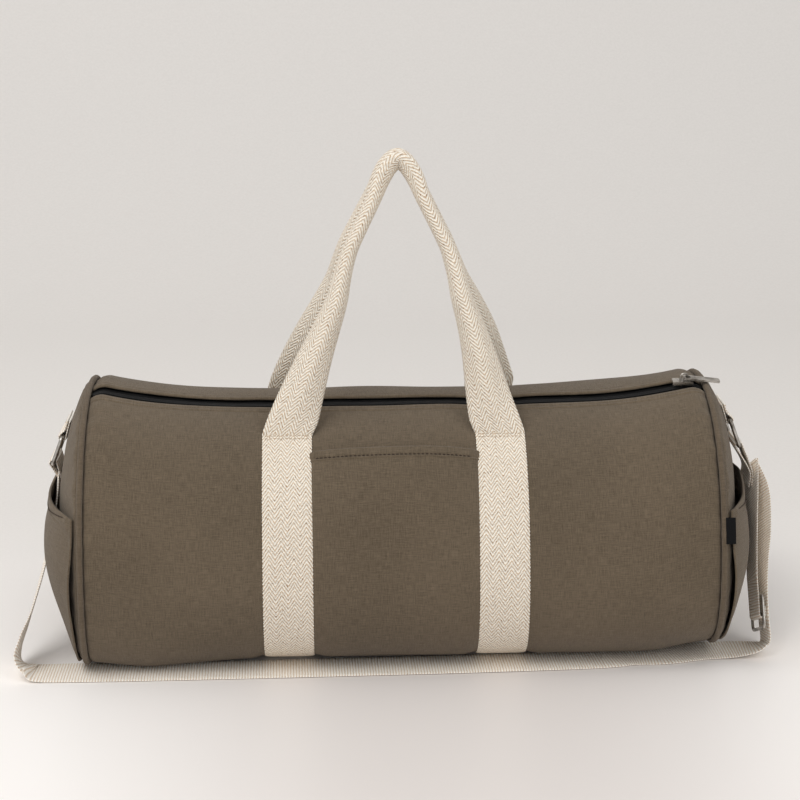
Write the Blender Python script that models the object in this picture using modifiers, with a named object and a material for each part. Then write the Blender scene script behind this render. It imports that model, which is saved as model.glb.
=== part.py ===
"""A canvas barrel gym bag with webbing handles and a shoulder strap.

Metres, +Z up. +X runs along the bag to its right end, -Y is the front, and the origin is on the floor
under the middle of the bag. The bag's skin is one surface, skin_point, and every sewn piece is placed on it.
"""

import math

import bmesh
import bpy
from mathutils import Matrix, Vector

# Bag body
bag_length = 0.500
front_depth = 0.128
back_depth = 0.128
middle_height = 0.209
end_height = 0.219
end_drop = 0.005
end_drop_length = 0.014
end_lift = 0.006
end_lift_length = 0.045
canvas_wall = 0.0020
gap = 0.0003
pocket_gap = 0.0006
zip_gap = 0.0005

# Section of the bag from its top round the front to its base, as shares of depth and height
section_shares = (
    (0.00, 1.000),
    (0.33, 0.968),
    (0.62, 0.862),
    (0.84, 0.685),
    (0.96, 0.480),
    (1.00, 0.300),
    (0.95, 0.145),
    (0.81, 0.038),
    (0.62, 0.000),
    (0.31, 0.000),
    (0.00, 0.000),
)
section_samples = 12

# End panels, piping and seams
end_bulge = 0.022
dome_power = 2.4
panel_ring_shares = (0.0, 0.30, 0.55, 0.75, 0.90, 1.0)
piping_radius = 0.0025
piping_stand = 0.0008
binding_height = 0.008
binding_thickness = 0.0024

# Webbing
handle_webbing_width = 0.040
handle_webbing_thickness = 0.0020
strap_webbing_width = 0.036
strap_webbing_thickness = 0.0018
band_spacing = 0.173
band_shift = -0.006
band_top_height = 0.186
band_ease = 0.012

# Handles
handle_apex_height = 0.4055
handle_apex_depth = 0.0115
handle_fold_angle = math.radians(42)
handle_curl_angle = math.radians(88)
# Middle of one handle leg, base to apex, as shares of half the band spacing and of the handle's rise
handle_path_shares = (
    (1.000, 0.000),
    (0.962, 0.040),
    (0.924, 0.080),
    (0.855, 0.175),
    (0.781, 0.274),
    (0.690, 0.380),
    (0.590, 0.491),
    (0.535, 0.580),
    (0.468, 0.666),
    (0.350, 0.765),
    (0.230, 0.862),
    (0.165, 0.925),
    (0.108, 0.966),
    (0.052, 0.991),
    (0.000, 1.000),
)

# Zip
zip_forward = 0.022
zip_slot_width = 0.018
zip_tape_width = 0.0135
zip_tape_thickness = 0.0008
zip_coil_width = 0.0024
zip_coil_height = 0.0018
zip_coil_split = 0.0012
slider_length = 0.017
slider_width = 0.0095
slider_plate = 0.0022
slider_end_room = 0.0045
bridge_radius = 0.0032
bridge_wire = 0.0009
pull_length = 0.030
pull_width = 0.0072
pull_thickness = 0.0016
pull_eye_length = 0.0042
pull_eye_width = 0.0042
pull_hinge_rise = 0.0024
pull_droop = math.radians(7)

# Pockets
pocket_wall = 0.0015
front_pocket_top_height = 0.176
front_pocket_base_height = 0.012
front_pocket_gape = 0.0095
end_pocket_top_height = 0.134
end_pocket_gape = 0.0060
end_pocket_base_rise = 0.012
end_pocket_gap = 0.0010

# Ring tabs and rings
ring_wire = 0.00175
ring_clear_width = 0.038
ring_drop = 0.024
ring_corner = 0.0030
ring_lean = math.radians(21)
left_tab_bar_height = 0.172
right_tab_bar_height = 0.180
tab_length = 0.020
tab_width = 0.034

# Shoulder strap
strap_pivot_height = 0.136
strap_plane = 0.2945
strap_end_foot = 0.014
strap_floor_front = 0.1185
strap_corner_reach = 0.313
# The strap from its left pivot along the floor to its right pivot: shares of the corner reach, of the floor
# run's place in front and of the pivot's height, then how far its width tips down at the back, in degrees
strap_route_shares = (
    (-0.941, 0.000, 1.000, 39),
    (-0.950, 0.210, 0.790, 39),
    (-0.968, 0.455, 0.535, 39),
    (-0.990, 0.710, 0.285, 38),
    (-1.000, 0.845, 0.160, 32),
    (-0.996, 0.935, 0.080, 21),
    (-0.968, 0.985, 0.000, 8),
    (-0.915, 1.000, 0.000, 0),
    (-0.600, 1.000, 0.000, 0),
    (-0.200, 1.000, 0.000, 0),
    (0.200, 1.000, 0.000, 0),
    (0.600, 0.985, 0.000, 0),
    (0.770, 0.980, 0.000, 0),
    (0.880, 0.920, 0.000, 0),
    (0.950, 0.820, 0.000, 8),
    (0.985, 0.730, 0.000, 22),
    (1.000, 0.620, 0.150, 28),
    (1.000, 0.510, 0.290, 28),
    (0.998, 0.380, 0.500, 28),
    (0.975, 0.190, 0.760, 32),
    (0.9476, 0.000, 1.000, 34),
)
strap_count = 84
adjuster_place_share = 0.875
adjuster_thickness = 0.0026
adjuster_length = 0.030
adjuster_bar = 0.0045
adjuster_side = 0.0030
adjuster_clear_width = 0.0380

# Side label
label_length = 0.009
label_height = 0.020
label_thickness = 0.0010
label_centre_height = 0.126

half_length = bag_length / 2
handle_half_spacing = band_spacing / 2
strap_half_width = strap_webbing_width / 2
bisection_steps = 30


# Small helpers

def eased(share):
    share = min(max(share, 0.0), 1.0)
    return share * share * (3 - 2 * share)


def mixed(low, high, share):
    return low + (high - low) * share


def steps(low, high, count):
    return [mixed(low, high, i / count) for i in range(count + 1)]


def curve_through(points, samples, closed=False):
    """Points along the smooth curve through the given points."""
    points = [Vector(point) for point in points]
    count = len(points)
    spans = count if closed else count - 1
    found = []
    for i in range(spans):
        if closed:
            a, b, c, d = (points[(i + k) % count] for k in (-1, 0, 1, 2))
        else:
            b, c = points[i], points[i + 1]
            a = points[i - 1] if i else b * 2 - c
            d = points[i + 2] if i + 2 < count else c * 2 - b
        for step in range(samples):
            t = step / samples
            found.append(
                (b * 2 + (c - a) * t + (a * 2 - b * 5 + c * 4 - d) * t**2
                 + (b * 3 - a - c * 3 + d) * t**3) / 2
            )
    if not closed:
        found.append(points[-1])
    return found


def evenly(points, count):
    """The same open line with its points spaced evenly."""
    reached = [0.0]
    for a, b in zip(points, points[1:]):
        reached.append(reached[-1] + (b - a).length)
    found = []
    place = 0
    for i in range(count + 1):
        wanted = reached[-1] * i / count
        while place < len(points) - 2 and reached[place + 1] < wanted:
            place += 1
        span = reached[place + 1] - reached[place]
        found.append(points[place].lerp(points[place + 1], (wanted - reached[place]) / span))
    return found


# The bag's skin

def section_outline():
    """The section as (depth share, height share) pairs, from its top round the front, base and back."""
    front = [(-depth, height) for depth, height in section_shares]
    back = [(depth, height) for depth, height in reversed(section_shares[1:-1])]
    return curve_through([(*pair, 0) for pair in front + back], section_samples, closed=True)


def section_turns(outline):
    """How far round each outline point lies, from 0 to 1, at the bag's middle."""
    sized = [Vector((p.x * front_depth, p.y * middle_height)) for p in outline]
    reached = [0.0]
    for a, b in zip(sized, sized[1:] + sized[:1]):
        reached.append(reached[-1] + (b - a).length)
    return [length / reached[-1] for length in reached], reached[-1]


outline_points = section_outline()
outline_turns, middle_perimeter = section_turns(outline_points)


def section_share(turn):
    turn = turn % 1.0
    low, high = 0, len(outline_points)
    while high - low > 1:
        middle = (low + high) // 2
        if outline_turns[middle] <= turn:
            low = middle
        else:
            high = middle
    span = outline_turns[low + 1] - outline_turns[low]
    following = outline_points[(low + 1) % len(outline_points)]
    return outline_points[low].lerp(following, (turn - outline_turns[low]) / span)


def band_centre(side):
    return band_shift + side * handle_half_spacing


def skin_base(x):
    """Height of the bag's underside: on the floor, but raised over the bands and at the ends."""
    over_band = 0.0
    for side in (-1, 1):
        beyond = abs(x - band_centre(side)) - handle_webbing_width / 2 - gap
        over_band = max(over_band, 1 - eased(beyond / band_ease))
    at_end = eased((abs(x) - half_length + end_lift_length) / end_lift_length)
    return over_band * (handle_webbing_thickness + gap) + at_end * end_lift


def skin_top(x):
    arch = mixed(middle_height, end_height, (x / half_length) ** 2)
    at_end = eased((abs(x) - half_length + end_drop_length) / end_drop_length)
    return arch - at_end * end_drop


def bare_skin_point(x, turn):
    share = section_share(turn)
    depth = front_depth if share.x < 0 else back_depth
    base = skin_base(x)
    return Vector((x, share.x * depth, base + max(share.y, 0.0) * (skin_top(x) - base)))


def skin_normal(x, turn):
    reach = 1 / len(outline_points)
    along = bare_skin_point(x, turn + reach) - bare_skin_point(x, turn - reach)
    return Vector((0, along.z, -along.y)).normalized()


def skin_point(x, turn, outward=0.0):
    return bare_skin_point(x, turn) + skin_normal(x, turn) * outward


def turn_at_height(height, x=0.0):
    """Where the front of the section crosses this height, as a turn. The back's is 1 minus it."""
    low, high = 0.0, 0.5
    for _ in range(bisection_steps):
        middle = (low + high) / 2
        if bare_skin_point(x, middle).z > height:
            low = middle
        else:
            high = middle
    return low


zip_turn = zip_forward / middle_perimeter


# Making objects

for old in list(bpy.data.objects):
    bpy.data.objects.remove(old)

bag = bpy.data.collections.new("gym_bag")
bpy.context.scene.collection.children.link(bag)


def material_of(name, colour, roughness, metallic=0.0):
    material = bpy.data.materials.new(name)
    material.use_nodes = True
    shader = material.node_tree.nodes["Principled BSDF"]
    shader.inputs["Base Color"].default_value = (*colour, 1)
    shader.inputs["Roughness"].default_value = roughness
    shader.inputs["Metallic"].default_value = metallic
    material.diffuse_color = (*colour, 1)
    return material


canvas = material_of("olive_canvas", (0.152, 0.117, 0.078), 0.90)
piping_canvas = material_of("piping_canvas", (0.130, 0.099, 0.066), 0.90)
webbing = material_of("cream_webbing", (0.800, 0.700, 0.570), 0.85)
strap_webbing = material_of("strap_webbing", (0.820, 0.730, 0.610), 0.85)
zip_fabric = material_of("black_zip_tape", (0.012, 0.012, 0.014), 0.80)
zip_nylon = material_of("black_zip_coil", (0.010, 0.010, 0.011), 0.45)
nickel = material_of("nickel", (0.600, 0.580, 0.550), 0.28, 1.0)
label_fabric = material_of("black_label", (0.010, 0.010, 0.012), 0.75)


def add_object(name, mesh, material, smooth_angle=math.radians(35)):
    obj = bpy.data.objects.new(name, mesh)
    mesh.materials.clear()
    mesh.materials.append(material)
    bag.objects.link(obj)
    mesh.shade_smooth()
    mesh.set_sharp_from_angle(angle=smooth_angle)
    return obj


def mesh_from(bm, name):
    bmesh.ops.recalc_face_normals(bm, faces=bm.faces)
    mesh = bpy.data.meshes.new(name)
    bm.to_mesh(mesh)
    bm.free()
    return mesh


def sheet(name, rows, wall, material, centre=None, joined=False):
    """A fabric sheet through rows of points on its outer face, with its wall behind that face.

    The face looks along the cross product of the way along a row and the way from row to row. The rows join
    end to end with joined, and centre closes the first row with a fan.
    """
    bm = bmesh.new()
    grid = [[bm.verts.new(point) for point in row] for row in rows]
    for first, second in zip(grid, grid[1:]):
        count = len(first)
        for i in range(count if joined else count - 1):
            k = (i + 1) % count
            bm.faces.new((first[i], first[k], second[k], second[i]))
    if centre is not None:
        tip = bm.verts.new(centre)
        count = len(grid[0])
        for i in range(count):
            bm.faces.new((tip, grid[0][(i + 1) % count], grid[0][i]))
    mesh = bpy.data.meshes.new(name)
    bm.to_mesh(mesh)
    bm.free()
    obj = add_object(name, mesh, material)
    shell = obj.modifiers.new("wall", "SOLIDIFY")
    shell.thickness = wall
    shell.offset = -1
    return obj


def loft(name, rings, material, closed=False):
    """A solid through section rings of equal count, capped at both ends unless it is closed on itself."""
    bm = bmesh.new()
    loops = [[bm.verts.new(point) for point in ring] for ring in rings]
    pairs = list(zip(loops, loops[1:]))
    if closed:
        pairs.append((loops[-1], loops[0]))
    for first, second in pairs:
        count = len(first)
        for i in range(count):
            k = (i + 1) % count
            bm.faces.new((first[i], first[k], second[k], second[i]))
    if not closed:
        bm.faces.new(loops[0])
        bm.faces.new(loops[-1])
    return add_object(name, mesh_from(bm, name), material)


def ribbon(name, stations, thickness, material):
    """Webbing through stations of (centre, half-width vector, unit normal)."""
    rings = []
    for centre, half_width, normal in stations:
        lift = normal * (thickness / 2)
        rings.append((centre - half_width - lift, centre + half_width - lift,
                      centre + half_width + lift, centre - half_width + lift))
    return loft(name, rings, material)


def cut_in_triangles(obj):
    """Cuts each face in flat triangles, so that a twisted strip has one shape only."""
    bm = bmesh.new()
    bm.from_mesh(obj.data)
    bmesh.ops.triangulate(bm, faces=bm.faces[:])
    bm.to_mesh(obj.data)
    bm.free()


def tube(name, points, radius, material, closed=False, sides=2):
    """A round bar along a line of points, as a curve object with filled caps."""
    data = bpy.data.curves.new(name, "CURVE")
    data.dimensions = "3D"
    data.bevel_depth = radius
    data.bevel_resolution = sides
    data.use_fill_caps = True
    spline = data.splines.new("POLY")
    spline.points.add(len(points) - 1)
    for point, place in zip(spline.points, points):
        point.co = (*place, 1)
    spline.use_cyclic_u = closed
    spline.use_smooth = True
    data.materials.append(material)
    obj = bpy.data.objects.new(name, data)
    bag.objects.link(obj)
    return obj


# Body wrap, end panels and seams

panel_edge = piping_radius + gap
dome_edge = piping_radius + 6 * gap
lengthwise_count = 8
round_count = 44
piping_count = 64


def wrap_places():
    """Where the wrap's cross rows lie along the bag: even steps, and each bend of its underside."""
    reach = half_length - panel_edge
    places = set(steps(-reach, reach, lengthwise_count))
    for side in (-1, 1):
        for beyond in (0.0, band_ease / 2, band_ease):
            half = handle_webbing_width / 2 + gap + beyond
            places |= {band_centre(side) - half, band_centre(side) + half}
        places.add(side * (half_length - end_lift_length))
        places.add(side * (half_length - end_drop_length))
    kept = []
    for place in sorted(places):
        if not kept or place - kept[-1] > band_ease / 4:
            kept.append(place)
    kept[-1] = reach
    return kept


def body_panel():
    slot = zip_slot_width / 2 / middle_perimeter
    turns = steps(zip_turn + slot, 1 + zip_turn - slot, round_count)
    rows = [[skin_point(x, turn) for turn in turns] for x in wrap_places()]
    return sheet("body_panel", rows, canvas_wall, canvas)


def panel_centre():
    top = skin_top(half_length)
    base = skin_base(half_length)
    return Vector((0.0, (top + base) / 2))


def dome_reach(share):
    """How far the end panel stands out beyond its seam, at this share from its centre to its rim."""
    return end_bulge * (1 - min(share, 1.0) ** dome_power)


def panel_point(side, turn, share):
    rim = bare_skin_point(half_length, turn)
    centre = panel_centre()
    y = mixed(centre.x, rim.y, share)
    z = mixed(centre.y, rim.z, share)
    return Vector((side * (half_length + dome_edge + dome_reach(share)), y, z))


def panel_share(y, z):
    """The share from the end panel's centre to its rim of a point at this depth and height."""
    centre = panel_centre()
    low, high = 0.0, 1.0
    wanted = math.atan2(centre.x - y, z - centre.y) % math.tau
    for _ in range(bisection_steps):
        middle = (low + high) / 2
        rim = bare_skin_point(half_length, middle)
        angle = math.atan2(centre.x - rim.y, rim.z - centre.y) % math.tau
        if angle < wanted:
            low = middle
        else:
            high = middle
    rim = bare_skin_point(half_length, low)
    rim_reach = math.hypot(rim.y - centre.x, rim.z - centre.y)
    return math.hypot(y - centre.x, z - centre.y) / rim_reach


def panel_face(y, z):
    """Distance of the end panel's outer face from the bag's middle, at this depth and height."""
    return half_length + dome_edge + dome_reach(panel_share(y, z))


def end_panel(name, side):
    turns = [i / round_count for i in range(round_count)]
    if side > 0:
        turns.reverse()
    rows = [[panel_point(side, turn, share) for turn in turns] for share in panel_ring_shares[1:]]
    centre = panel_point(side, 0.0, 0.0)
    return sheet(name, rows, canvas_wall, canvas, centre=centre, joined=True)


def rim_ring(side, outward, shift=0.0):
    """Points round an end seam."""
    x = side * half_length
    ring = [skin_point(x, i / piping_count, outward) for i in range(piping_count)]
    return [point + Vector((shift, 0, 0)) for point in ring]


def piping(name, side):
    return tube(name, rim_ring(side, piping_stand), piping_radius, piping_canvas, closed=True)


def seam_binding(name, side):
    """The bound seam allowance, a fin that stands inwards from the piping."""
    outer = piping_stand - piping_radius - gap
    rings = []
    half = binding_thickness / 2
    edges = [rim_ring(side, outward, shift) for outward, shift in (
        (outer, -half), (outer, half), (outer - binding_height, half), (outer - binding_height, -half))]
    for corners in zip(*edges):
        rings.append(corners)
    return loft(name, rings, zip_fabric, closed=True)


body_panel()
for panel_side, side_name in ((-1, "left"), (1, "right")):
    end_panel(side_name + "_end_panel", panel_side)
    piping(side_name + "_piping", panel_side)
    seam_binding(side_name + "_seam_binding", panel_side)


# Webbing bands sewn round under the bag

band_round_count = 84
band_offset = gap + handle_webbing_thickness / 2
band_top_turn = turn_at_height(band_top_height, band_centre(1))


def band(name, side):
    x = band_centre(side)
    half = handle_webbing_width / 2
    outer = gap + handle_webbing_thickness
    turns = steps(band_top_turn, 1 - band_top_turn, band_round_count)
    rows = [[skin_point(place, turn, outer) for turn in turns] for place in (x - half, x, x + half)]
    return sheet(name, rows, handle_webbing_thickness, webbing)


band("left_band", -1)
band("right_band", 1)


# Free handles, folded lengthwise towards the top

handle_samples = 2
handle_section_count = 6
fold_crease_share = 0.30
fold_start_share = 0.06
fold_full_share = 0.68
roll_start_share = 0.86
handle_foot = 0.0018


def folded_line(width, fold, curl):
    """The webbing's middle line across its width, folded by this angle each way: (out, across) pairs.

    Curl closes its edges further behind the fold.
    """
    part = width / handle_section_count
    half = handle_section_count // 2
    side_line = [(0.0, 0.0)]
    for i in range(half):
        share = (i + 0.5) / half
        angle = fold * math.sin(math.pi / 2 * min(share / fold_crease_share, 1.0)) + curl * share
        out, across = side_line[-1]
        side_line.append((out - part * math.sin(angle), across + part * math.cos(angle)))
    mirrored = [(out, -across) for out, across in reversed(side_line[1:])]
    return mirrored + side_line


def folded_ring(centre, side_way, plane_normal, swing, line, thickness):
    """A closed section of folded webbing. Its crease looks out of the handle's plane, or aside by swing.

    The section's extents have their middle at centre.
    """
    out = plane_normal * math.cos(swing) + side_way * math.sin(swing)
    across = side_way * math.cos(swing) - plane_normal * math.sin(swing)
    outs, acrosses = ([pair[k] for pair in line] for k in (0, 1))
    centre = centre - out * ((max(outs) + min(outs)) / 2) - across * ((max(acrosses) + min(acrosses)) / 2)
    outer, inner = [], []
    for i, (a, b) in enumerate(line):
        before = line[max(i - 1, 0)]
        after = line[min(i + 1, len(line) - 1)]
        along = Vector((after[0] - before[0], after[1] - before[1])).normalized()
        normal = Vector((along.y, -along.x)) * (thickness / 2)
        outer.append(centre + out * (a + normal.x) + across * (b + normal.y))
        inner.append(centre + out * (a - normal.x) + across * (b - normal.y))
    return outer + inner[::-1]


def foot_turn_of(front):
    return band_top_turn if front > 0 else 1 - band_top_turn


def handle_hinge(front):
    """The line that a handle folds about: the outer edge of the band's top."""
    return skin_point(band_centre(1), foot_turn_of(front), gap + handle_webbing_thickness)


def handle_path(front):
    """The middle line of a handle, from its left foot over the apex to its right foot."""
    foot_turn = foot_turn_of(front)
    foot = skin_point(band_centre(1), foot_turn, band_offset)
    rise_way = Vector((0, -front * handle_apex_depth - foot.y, handle_apex_height - foot.z))
    start = handle_foot / rise_way.length
    leg = []
    for spread, rise in handle_path_shares:
        place = foot + rise_way * mixed(start, 1.0, rise)
        leg.append(Vector((spread * handle_half_spacing, place.y, place.z)))
    shift = Vector((band_shift, 0, 0))
    whole = [Vector((-p.x, p.y, p.z)) for p in leg] + leg[-2::-1]
    return curve_through([p + shift for p in whole], handle_samples), rise_way.normalized(), foot


def handle(name, front):
    middle_line, rise_way, foot = handle_path(front)
    plane_normal = Vector((0, -front * rise_way.z, front * rise_way.y))
    rings = []
    for i, centre in enumerate(middle_line):
        before = middle_line[max(i - 1, 0)]
        after = middle_line[min(i + 1, len(middle_line) - 1)]
        along = (after - before).normalized()
        if i in (0, len(middle_line) - 1):
            along = rise_way if i == 0 else -rise_way
        outward = along.cross(Vector((0, 1, 0)))
        share = (centre - foot).dot(rise_way) / (handle_apex_height - foot.z)
        folding = eased((share - fold_start_share) / (fold_full_share - fold_start_share))
        swing = eased((share - roll_start_share) / (1 - roll_start_share)) * math.pi / 2
        side_way = along.cross(plane_normal).normalized()
        if side_way.dot(outward) < 0:
            side_way = -side_way
        line = folded_line(handle_webbing_width, folding * handle_fold_angle, folding * handle_curl_angle)
        rings.append(folded_ring(centre, side_way, plane_normal, swing, line, handle_webbing_thickness))
    return loft(name, rings, webbing)


handle("front_handle", 1)
handle("back_handle", -1)


# Zip

zip_reach = half_length - panel_edge
zip_count = 30
tape_top = -canvas_wall - zip_gap
coil_middle = tape_top + gap + zip_coil_height / 2


def turn_of(length):
    return length / middle_perimeter


def zip_tape(name, way):
    """One tape of the zip, under the wrap's edge on its side: way is 1 for the front and -1 for the back."""
    near = zip_turn + way * turn_of(zip_coil_split / 2)
    far = zip_turn + way * turn_of(zip_tape_width)
    turns = sorted((near, far))
    rows = [[skin_point(x, turn, tape_top) for turn in turns]
            for x in steps(-zip_reach, zip_reach, zip_count)]
    return sheet(name, rows, zip_tape_thickness, zip_fabric)


def zip_coil(name, way):
    turn = zip_turn + way * turn_of((zip_coil_split + zip_coil_width) / 2)
    stations = []
    for x in steps(-zip_reach, zip_reach, zip_count):
        normal = skin_normal(x, turn)
        half_width = normal.cross(Vector((1, 0, 0))) * (zip_coil_width / 2)
        stations.append((skin_point(x, turn, coil_middle), half_width, normal))
    return ribbon(name, stations, zip_coil_height, zip_nylon)


zip_tape("zip_tape_front", 1)
zip_tape("zip_tape_back", -1)
zip_coil("zip_coil_front", 1)
zip_coil("zip_coil_back", -1)


# Zip slider and pull

slider_place = half_length - slider_end_room - slider_length / 2
slider_up = skin_normal(slider_place, zip_turn)
slider_across = slider_up.cross(Vector((1, 0, 0)))
coil_top = coil_middle + zip_coil_height / 2
slider_lift = max(
    (skin_point(x, zip_turn, coil_top) - skin_point(slider_place, zip_turn, coil_top)).dot(slider_up)
    for x in steps(slider_place - slider_length / 2, slider_place + slider_length / 2, 4))
slider_foot = skin_point(slider_place, zip_turn, coil_top + gap + slider_lift)
slider_rim = 0.0011
slider_tail_share = 0.90
hinge_forward_share = 0.08
weld_distance = 0.00001
pull_hinge = (slider_foot + slider_up * (slider_plate + pull_hinge_rise)
              + Vector((slider_length * hinge_forward_share, 0, 0)))
piping_top = skin_point(half_length, zip_turn, piping_stand + piping_radius + gap + pull_thickness / 2)
over_piping = (pull_hinge - piping_top).dot(slider_up)
pull_angle = min(pull_droop, math.atan2(over_piping, half_length - pull_hinge.x))


def slider_ring(along, half_width, plate):
    """The slider's section: a plate with a low rim down each side of the coils."""
    inner = half_width - slider_rim
    corners = ((half_width, plate), (half_width, -zip_coil_height / 2), (inner, -zip_coil_height / 2),
               (inner, 0.0), (-inner, 0.0), (-inner, -zip_coil_height / 2),
               (-half_width, -zip_coil_height / 2), (-half_width, plate))
    return [slider_foot + Vector((along, 0, 0)) + slider_across * a + slider_up * b for a, b in corners]


def welded_copy(curve_object):
    """The curve object as a closed mesh object, in place of the curve."""
    graph = bpy.context.evaluated_depsgraph_get()
    mesh = bpy.data.meshes.new_from_object(curve_object.evaluated_get(graph))
    bm = bmesh.new()
    bm.from_mesh(mesh)
    bmesh.ops.remove_doubles(bm, verts=bm.verts, dist=weld_distance)
    bmesh.ops.recalc_face_normals(bm, faces=bm.faces)
    bm.to_mesh(mesh)
    bm.free()
    name = curve_object.name
    placed = bpy.data.objects.new(name + "_solid", mesh)
    placed.matrix_world = curve_object.matrix_world
    bpy.data.objects.remove(curve_object)
    return placed


cutters = bpy.data.collections.new("joined_shapes")
bpy.context.scene.collection.children.link(cutters)
cutters.hide_render = True


def unite(target, helper):
    cutters.objects.link(helper)
    helper.hide_render = True
    helper.display_type = "WIRE"
    union = target.modifiers.new("join " + helper.name, "BOOLEAN")
    union.operation = "UNION"
    union.object = helper
    union.solver = "EXACT"


def zip_slider():
    half = slider_length / 2
    tail = slider_width / 2 * slider_tail_share
    nose = slider_width / 2
    rings = [
        slider_ring(-half, tail * slider_tail_share, slider_plate * slider_tail_share),
        slider_ring(-half + slider_rim, tail, slider_plate),
        slider_ring(half - 2 * slider_rim, nose, slider_plate),
        slider_ring(half, nose * slider_tail_share, slider_plate * slider_tail_share),
    ]
    body = loft("zip_slider", rings, nickel)
    arch = []
    sunk = pull_hinge_rise + slider_plate / 2
    for along, up in ((-bridge_radius, -sunk), (-bridge_radius, -sunk / 2)):
        arch.append(pull_hinge + Vector((along, 0, 0)) + slider_up * up)
    arc_steps = 10
    for i in range(arc_steps + 1):
        angle = math.pi * (1 - i / arc_steps)
        arch.append(pull_hinge + Vector((bridge_radius * math.cos(angle), 0, 0))
                    + slider_up * (bridge_radius * math.sin(angle)))
    for along, up in ((bridge_radius, -sunk / 2), (bridge_radius, -sunk)):
        arch.append(pull_hinge + Vector((along, 0, 0)) + slider_up * up)
    unite(body, welded_copy(tube("slider_bridge", arch, bridge_wire, nickel, sides=1)))


def rounded_outline(low_x, high_x, half_width, radius, arc_steps=4):
    """Corners of a rectangle with rounded corners, anticlockwise."""
    outline = []
    corners = ((high_x - radius, half_width - radius, 0), (low_x + radius, half_width - radius, 1),
               (low_x + radius, radius - half_width, 2), (high_x - radius, radius - half_width, 3))
    for x, y, quarter in corners:
        for i in range(arc_steps + 1):
            angle = math.pi / 2 * (quarter + i / arc_steps)
            outline.append((x + radius * math.cos(angle), y + radius * math.sin(angle)))
    return outline


def flat_plate(name, outlines, thickness, material, centre, along, across):
    """A plate with holes: its first outline is the rim and the others are holes."""
    data = bpy.data.curves.new(name, "CURVE")
    data.dimensions = "2D"
    data.fill_mode = "BOTH"
    data.extrude = thickness / 2
    for outline in outlines:
        spline = data.splines.new("POLY")
        spline.points.add(len(outline) - 1)
        for point, (x, y) in zip(spline.points, outline):
            point.co = (x, y, 0, 1)
        spline.use_cyclic_u = True
    data.materials.append(material)
    obj = bpy.data.objects.new(name, data)
    normal = along.cross(across)
    for row in range(3):
        for column, axis in enumerate((along, across, normal, centre)):
            obj.matrix_world[row][column] = axis[row]
    bag.objects.link(obj)
    return obj


def zip_pull():
    bar = pull_thickness / 2
    eye_end = bar + pull_eye_length
    rim = rounded_outline(-bar, pull_length, pull_width / 2, pull_thickness)
    eye = rounded_outline(bar, eye_end, pull_eye_width / 2, bar / 2, 2)
    along = Vector((math.cos(pull_angle), 0, 0)) - slider_up * math.sin(pull_angle)
    flat_plate("zip_pull", (rim, eye), pull_thickness, nickel, pull_hinge, along, slider_across)


zip_slider()
zip_pull()


# Pockets

pocket_count = 16
pocket_rows = 10
bow_power = 4


def mouth_bow(across):
    """How far a pocket's mouth gapes, from 0 at its sides to 1 at its middle."""
    return 1 - (2 * across - 1) ** bow_power


def front_pocket():
    """A flat pocket between the front bands, open along its top."""
    edge = handle_webbing_width / 2 + gap
    left = band_centre(-1) + edge
    right = band_centre(1) - edge
    top = turn_at_height(front_pocket_top_height)
    foot = turn_at_height(front_pocket_base_height)
    rows = []
    for i in range(pocket_count + 1):
        across = i / pocket_count
        row = []
        for k in range(pocket_rows + 1):
            down = k / pocket_rows
            stand = pocket_gap + pocket_wall + front_pocket_gape * mouth_bow(across) * eased(1 - down)
            row.append(skin_point(mixed(left, right, across), mixed(top, foot, down), stand))
        rows.append(row)
    return sheet("front_pocket", rows, pocket_wall, canvas)


def panel_skin(side, y, z, outward=0.0):
    """A point off the end panel's outer face, square to it."""
    reach = piping_radius
    inward_y = -reach if y > 0 else reach
    inward_z = -reach if z > panel_centre().y else reach
    face = panel_face(y, z)
    slope_y = (panel_face(y + inward_y, z) - face) / inward_y
    slope_z = (panel_face(y, z + inward_z) - face) / inward_z
    normal = Vector((side, -slope_y, -slope_z)).normalized()
    return Vector((side * face, y, z)) + normal * outward


def end_pocket(name, side):
    """A pocket over the lower part of an end panel, open along its top."""
    top_turn = turn_at_height(end_pocket_top_height, half_length)
    side_turn = turn_at_height(end_pocket_top_height - end_pocket_base_rise, half_length)
    corner = bare_skin_point(half_length, top_turn)
    inset = 1 - gap / corner.length
    rows = []
    for i in range(pocket_count + 1):
        across = i / pocket_count
        mouth = Vector((mixed(corner.y, -corner.y, across), corner.z))
        rim = bare_skin_point(half_length, mixed(side_turn, 1 - side_turn, across))
        foot = Vector((rim.y, rim.z))
        row = []
        for k in range(pocket_rows + 1):
            down = k / pocket_rows
            place = panel_centre() + (mouth.lerp(foot, down) - panel_centre()) * inset
            stand = end_pocket_gap + pocket_wall + end_pocket_gape * mouth_bow(across) * eased(1 - down)
            row.append(panel_skin(side, place.x, place.y, stand))
        rows.append(row)
    if side < 0:
        rows.reverse()
    return sheet(name, rows, pocket_wall, canvas)


front_pocket()
end_pocket("left_end_pocket", -1)
end_pocket("right_end_pocket", 1)


# Ring tabs, rings and the webbing looped on the rings

loop_steps = 8
leg_steps = 16
across_bag = Vector((0, 1, 0))


def flat_stations(line, half_width):
    """Ribbon stations along a line in the plane across the bag's length."""
    stations = []
    for i, centre in enumerate(line):
        before = line[max(i - 1, 0)]
        after = line[min(i + 1, len(line) - 1)]
        along = (after - before).normalized()
        stations.append((centre, across_bag * half_width, along.cross(across_bag)))
    return stations


def half_turn(centre, start, way, radius):
    """Points round a bar from its side start, by way, to its other side."""
    return [centre + (start * math.cos(math.pi * i / loop_steps)
                      + way * math.sin(math.pi * i / loop_steps)) * radius for i in range(loop_steps + 1)]


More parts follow.
